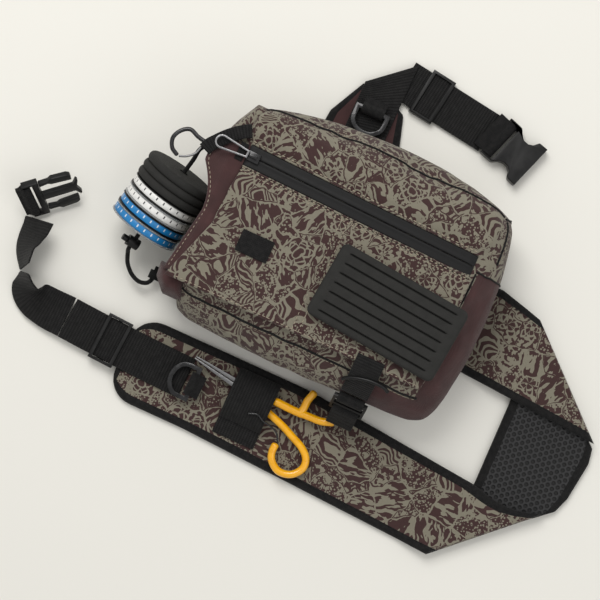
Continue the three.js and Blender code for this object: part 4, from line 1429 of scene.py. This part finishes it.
def add_clip():
    """Gear clip: an open hook of round bar and its wire gate."""
    hook = [(-150, 44.2), (-157, 45.6), (-166, 48.6), (-173, 44), (-176.5, 36), (-173.5, 28),
        (-167.5, 24.2)]
    piece = tube("gear_clip_hook", at_height(hook, CLIP_Z), 1.9, 60, BLACK_METAL)
    ready(piece, "black_metal", "gear_clip", ["gear_clip"])
    gate = [(-164.8, 23.9), (-159, 26.5), (-153.6, 31.5), (-151.2, 38.1)]
    piece = tube("gear_clip_gate", at_height(gate, CLIP_Z), 1.0, 30, STEEL)
    ready(piece, "black_metal", "clip_gate", ["clip_gate"])


def add_grips():
    """Dipped yellow grips of the forceps, and the bent wire beside them."""
    def route(points, z):
        origin = (FORCEPS["x"], FORCEPS["y"], FORCEPS["z"])
        return turned(at_height(points, z), "Z", FORCEPS["turn"], origin)

    low = FORCEPS["plate"] / 2
    high = low + FORCEPS["plate"] + GAP
    hook = [(27, -6), (44, -8.8), (57, -12.2), (70, -16.2), (78, -22.5), (80, -31), (74, -41),
        (63, -44.5), (53, -39.8), (49, -33), (48.2, -26.8)]
    piece = tube("grip_hook_dipped", route(hook, low), 3.4, 90, YELLOW, 18)
    ready(piece, "yellow_grip", "forceps_jaw", ["forceps_grip_hook"])
    branches = {
        "grip_fork_dipped": ([(27, 6), (43, 7.8), (53, 9.4)], 3.7),
        "grip_fork_upper": ([(51, 8), (51.6, 15), (50.8, 22), (52, 31)], 3.5),
        "grip_fork_right": ([(50, 9), (61, 11.2), (71, 13.4), (80, 18)], 3.5),
    }
    for name, (points, radius) in branches.items():
        piece = tube(name, route(points, high), radius, 30, YELLOW, 18)
        stands = ["forceps_grip_fork"] if name == "grip_fork_dipped" else []
        ready(piece, "yellow_grip", "forceps", stands)
    wire = [(14, -167.5, 13.5), (8.9, -159.4, 17), (1.6, -156.2, 20.5), (-6.3, -154.6, 22.6),
        (-12.4, -151.5, 24), (-20.4, -153.8, 23.2)]
    ready(tube("forceps_wire", wire, 0.9, 60, BLACK_METAL, 10), "black_metal", "forceps_jaw")


def finish_hardware():
    """The hard pieces keep their CAD shape, with rounded edges."""
    rounding = {
        (PLASTIC, "black_plastic"): {"belt_triglide": 0.7, "waist_triglide": 0.7,
            "buckle_socket": 1.0, "buckle_plug": 0.8, "buckle_prong_left": 0.8,
            "buckle_prong_right": 0.8, "ladder_lock": 0.7},
        (BLACK_METAL, "black_metal"): {"zip_slider": 0.5, "wing_d_ring": 1.3, "strap_d_ring": 1.3},
        (STEEL, "steel"): {"zip_pull": 0.5, "forceps_arm_lower": 0.35, "forceps_arm_upper": 0.35,
            "forceps_screw": 0.3},
        (BINDING, "black_webbing"): dict.fromkeys(("socket_loop", "wing_ring_loop",
            "strap_ring_loop", "plug_loop", "cord_anchor_loop", "ladder_lock_loop", "tab_ring"), 0.4),
    }
    for (material, slot), nodes in rounding.items():
        for node, width in nodes.items():
            refine(node, material, slot, width)


add_tether_cord()
body = add_body()
add_body_seams(surface_finder(body))
add_back_panel()
add_front_panel()
add_zipper()
add_side_pocket()
add_shoulder_strap()
add_wing()
add_webbings()
add_tabs()
add_sleeve()
add_patches()
add_stack()
add_clip()
add_grips()
finish_hardware()
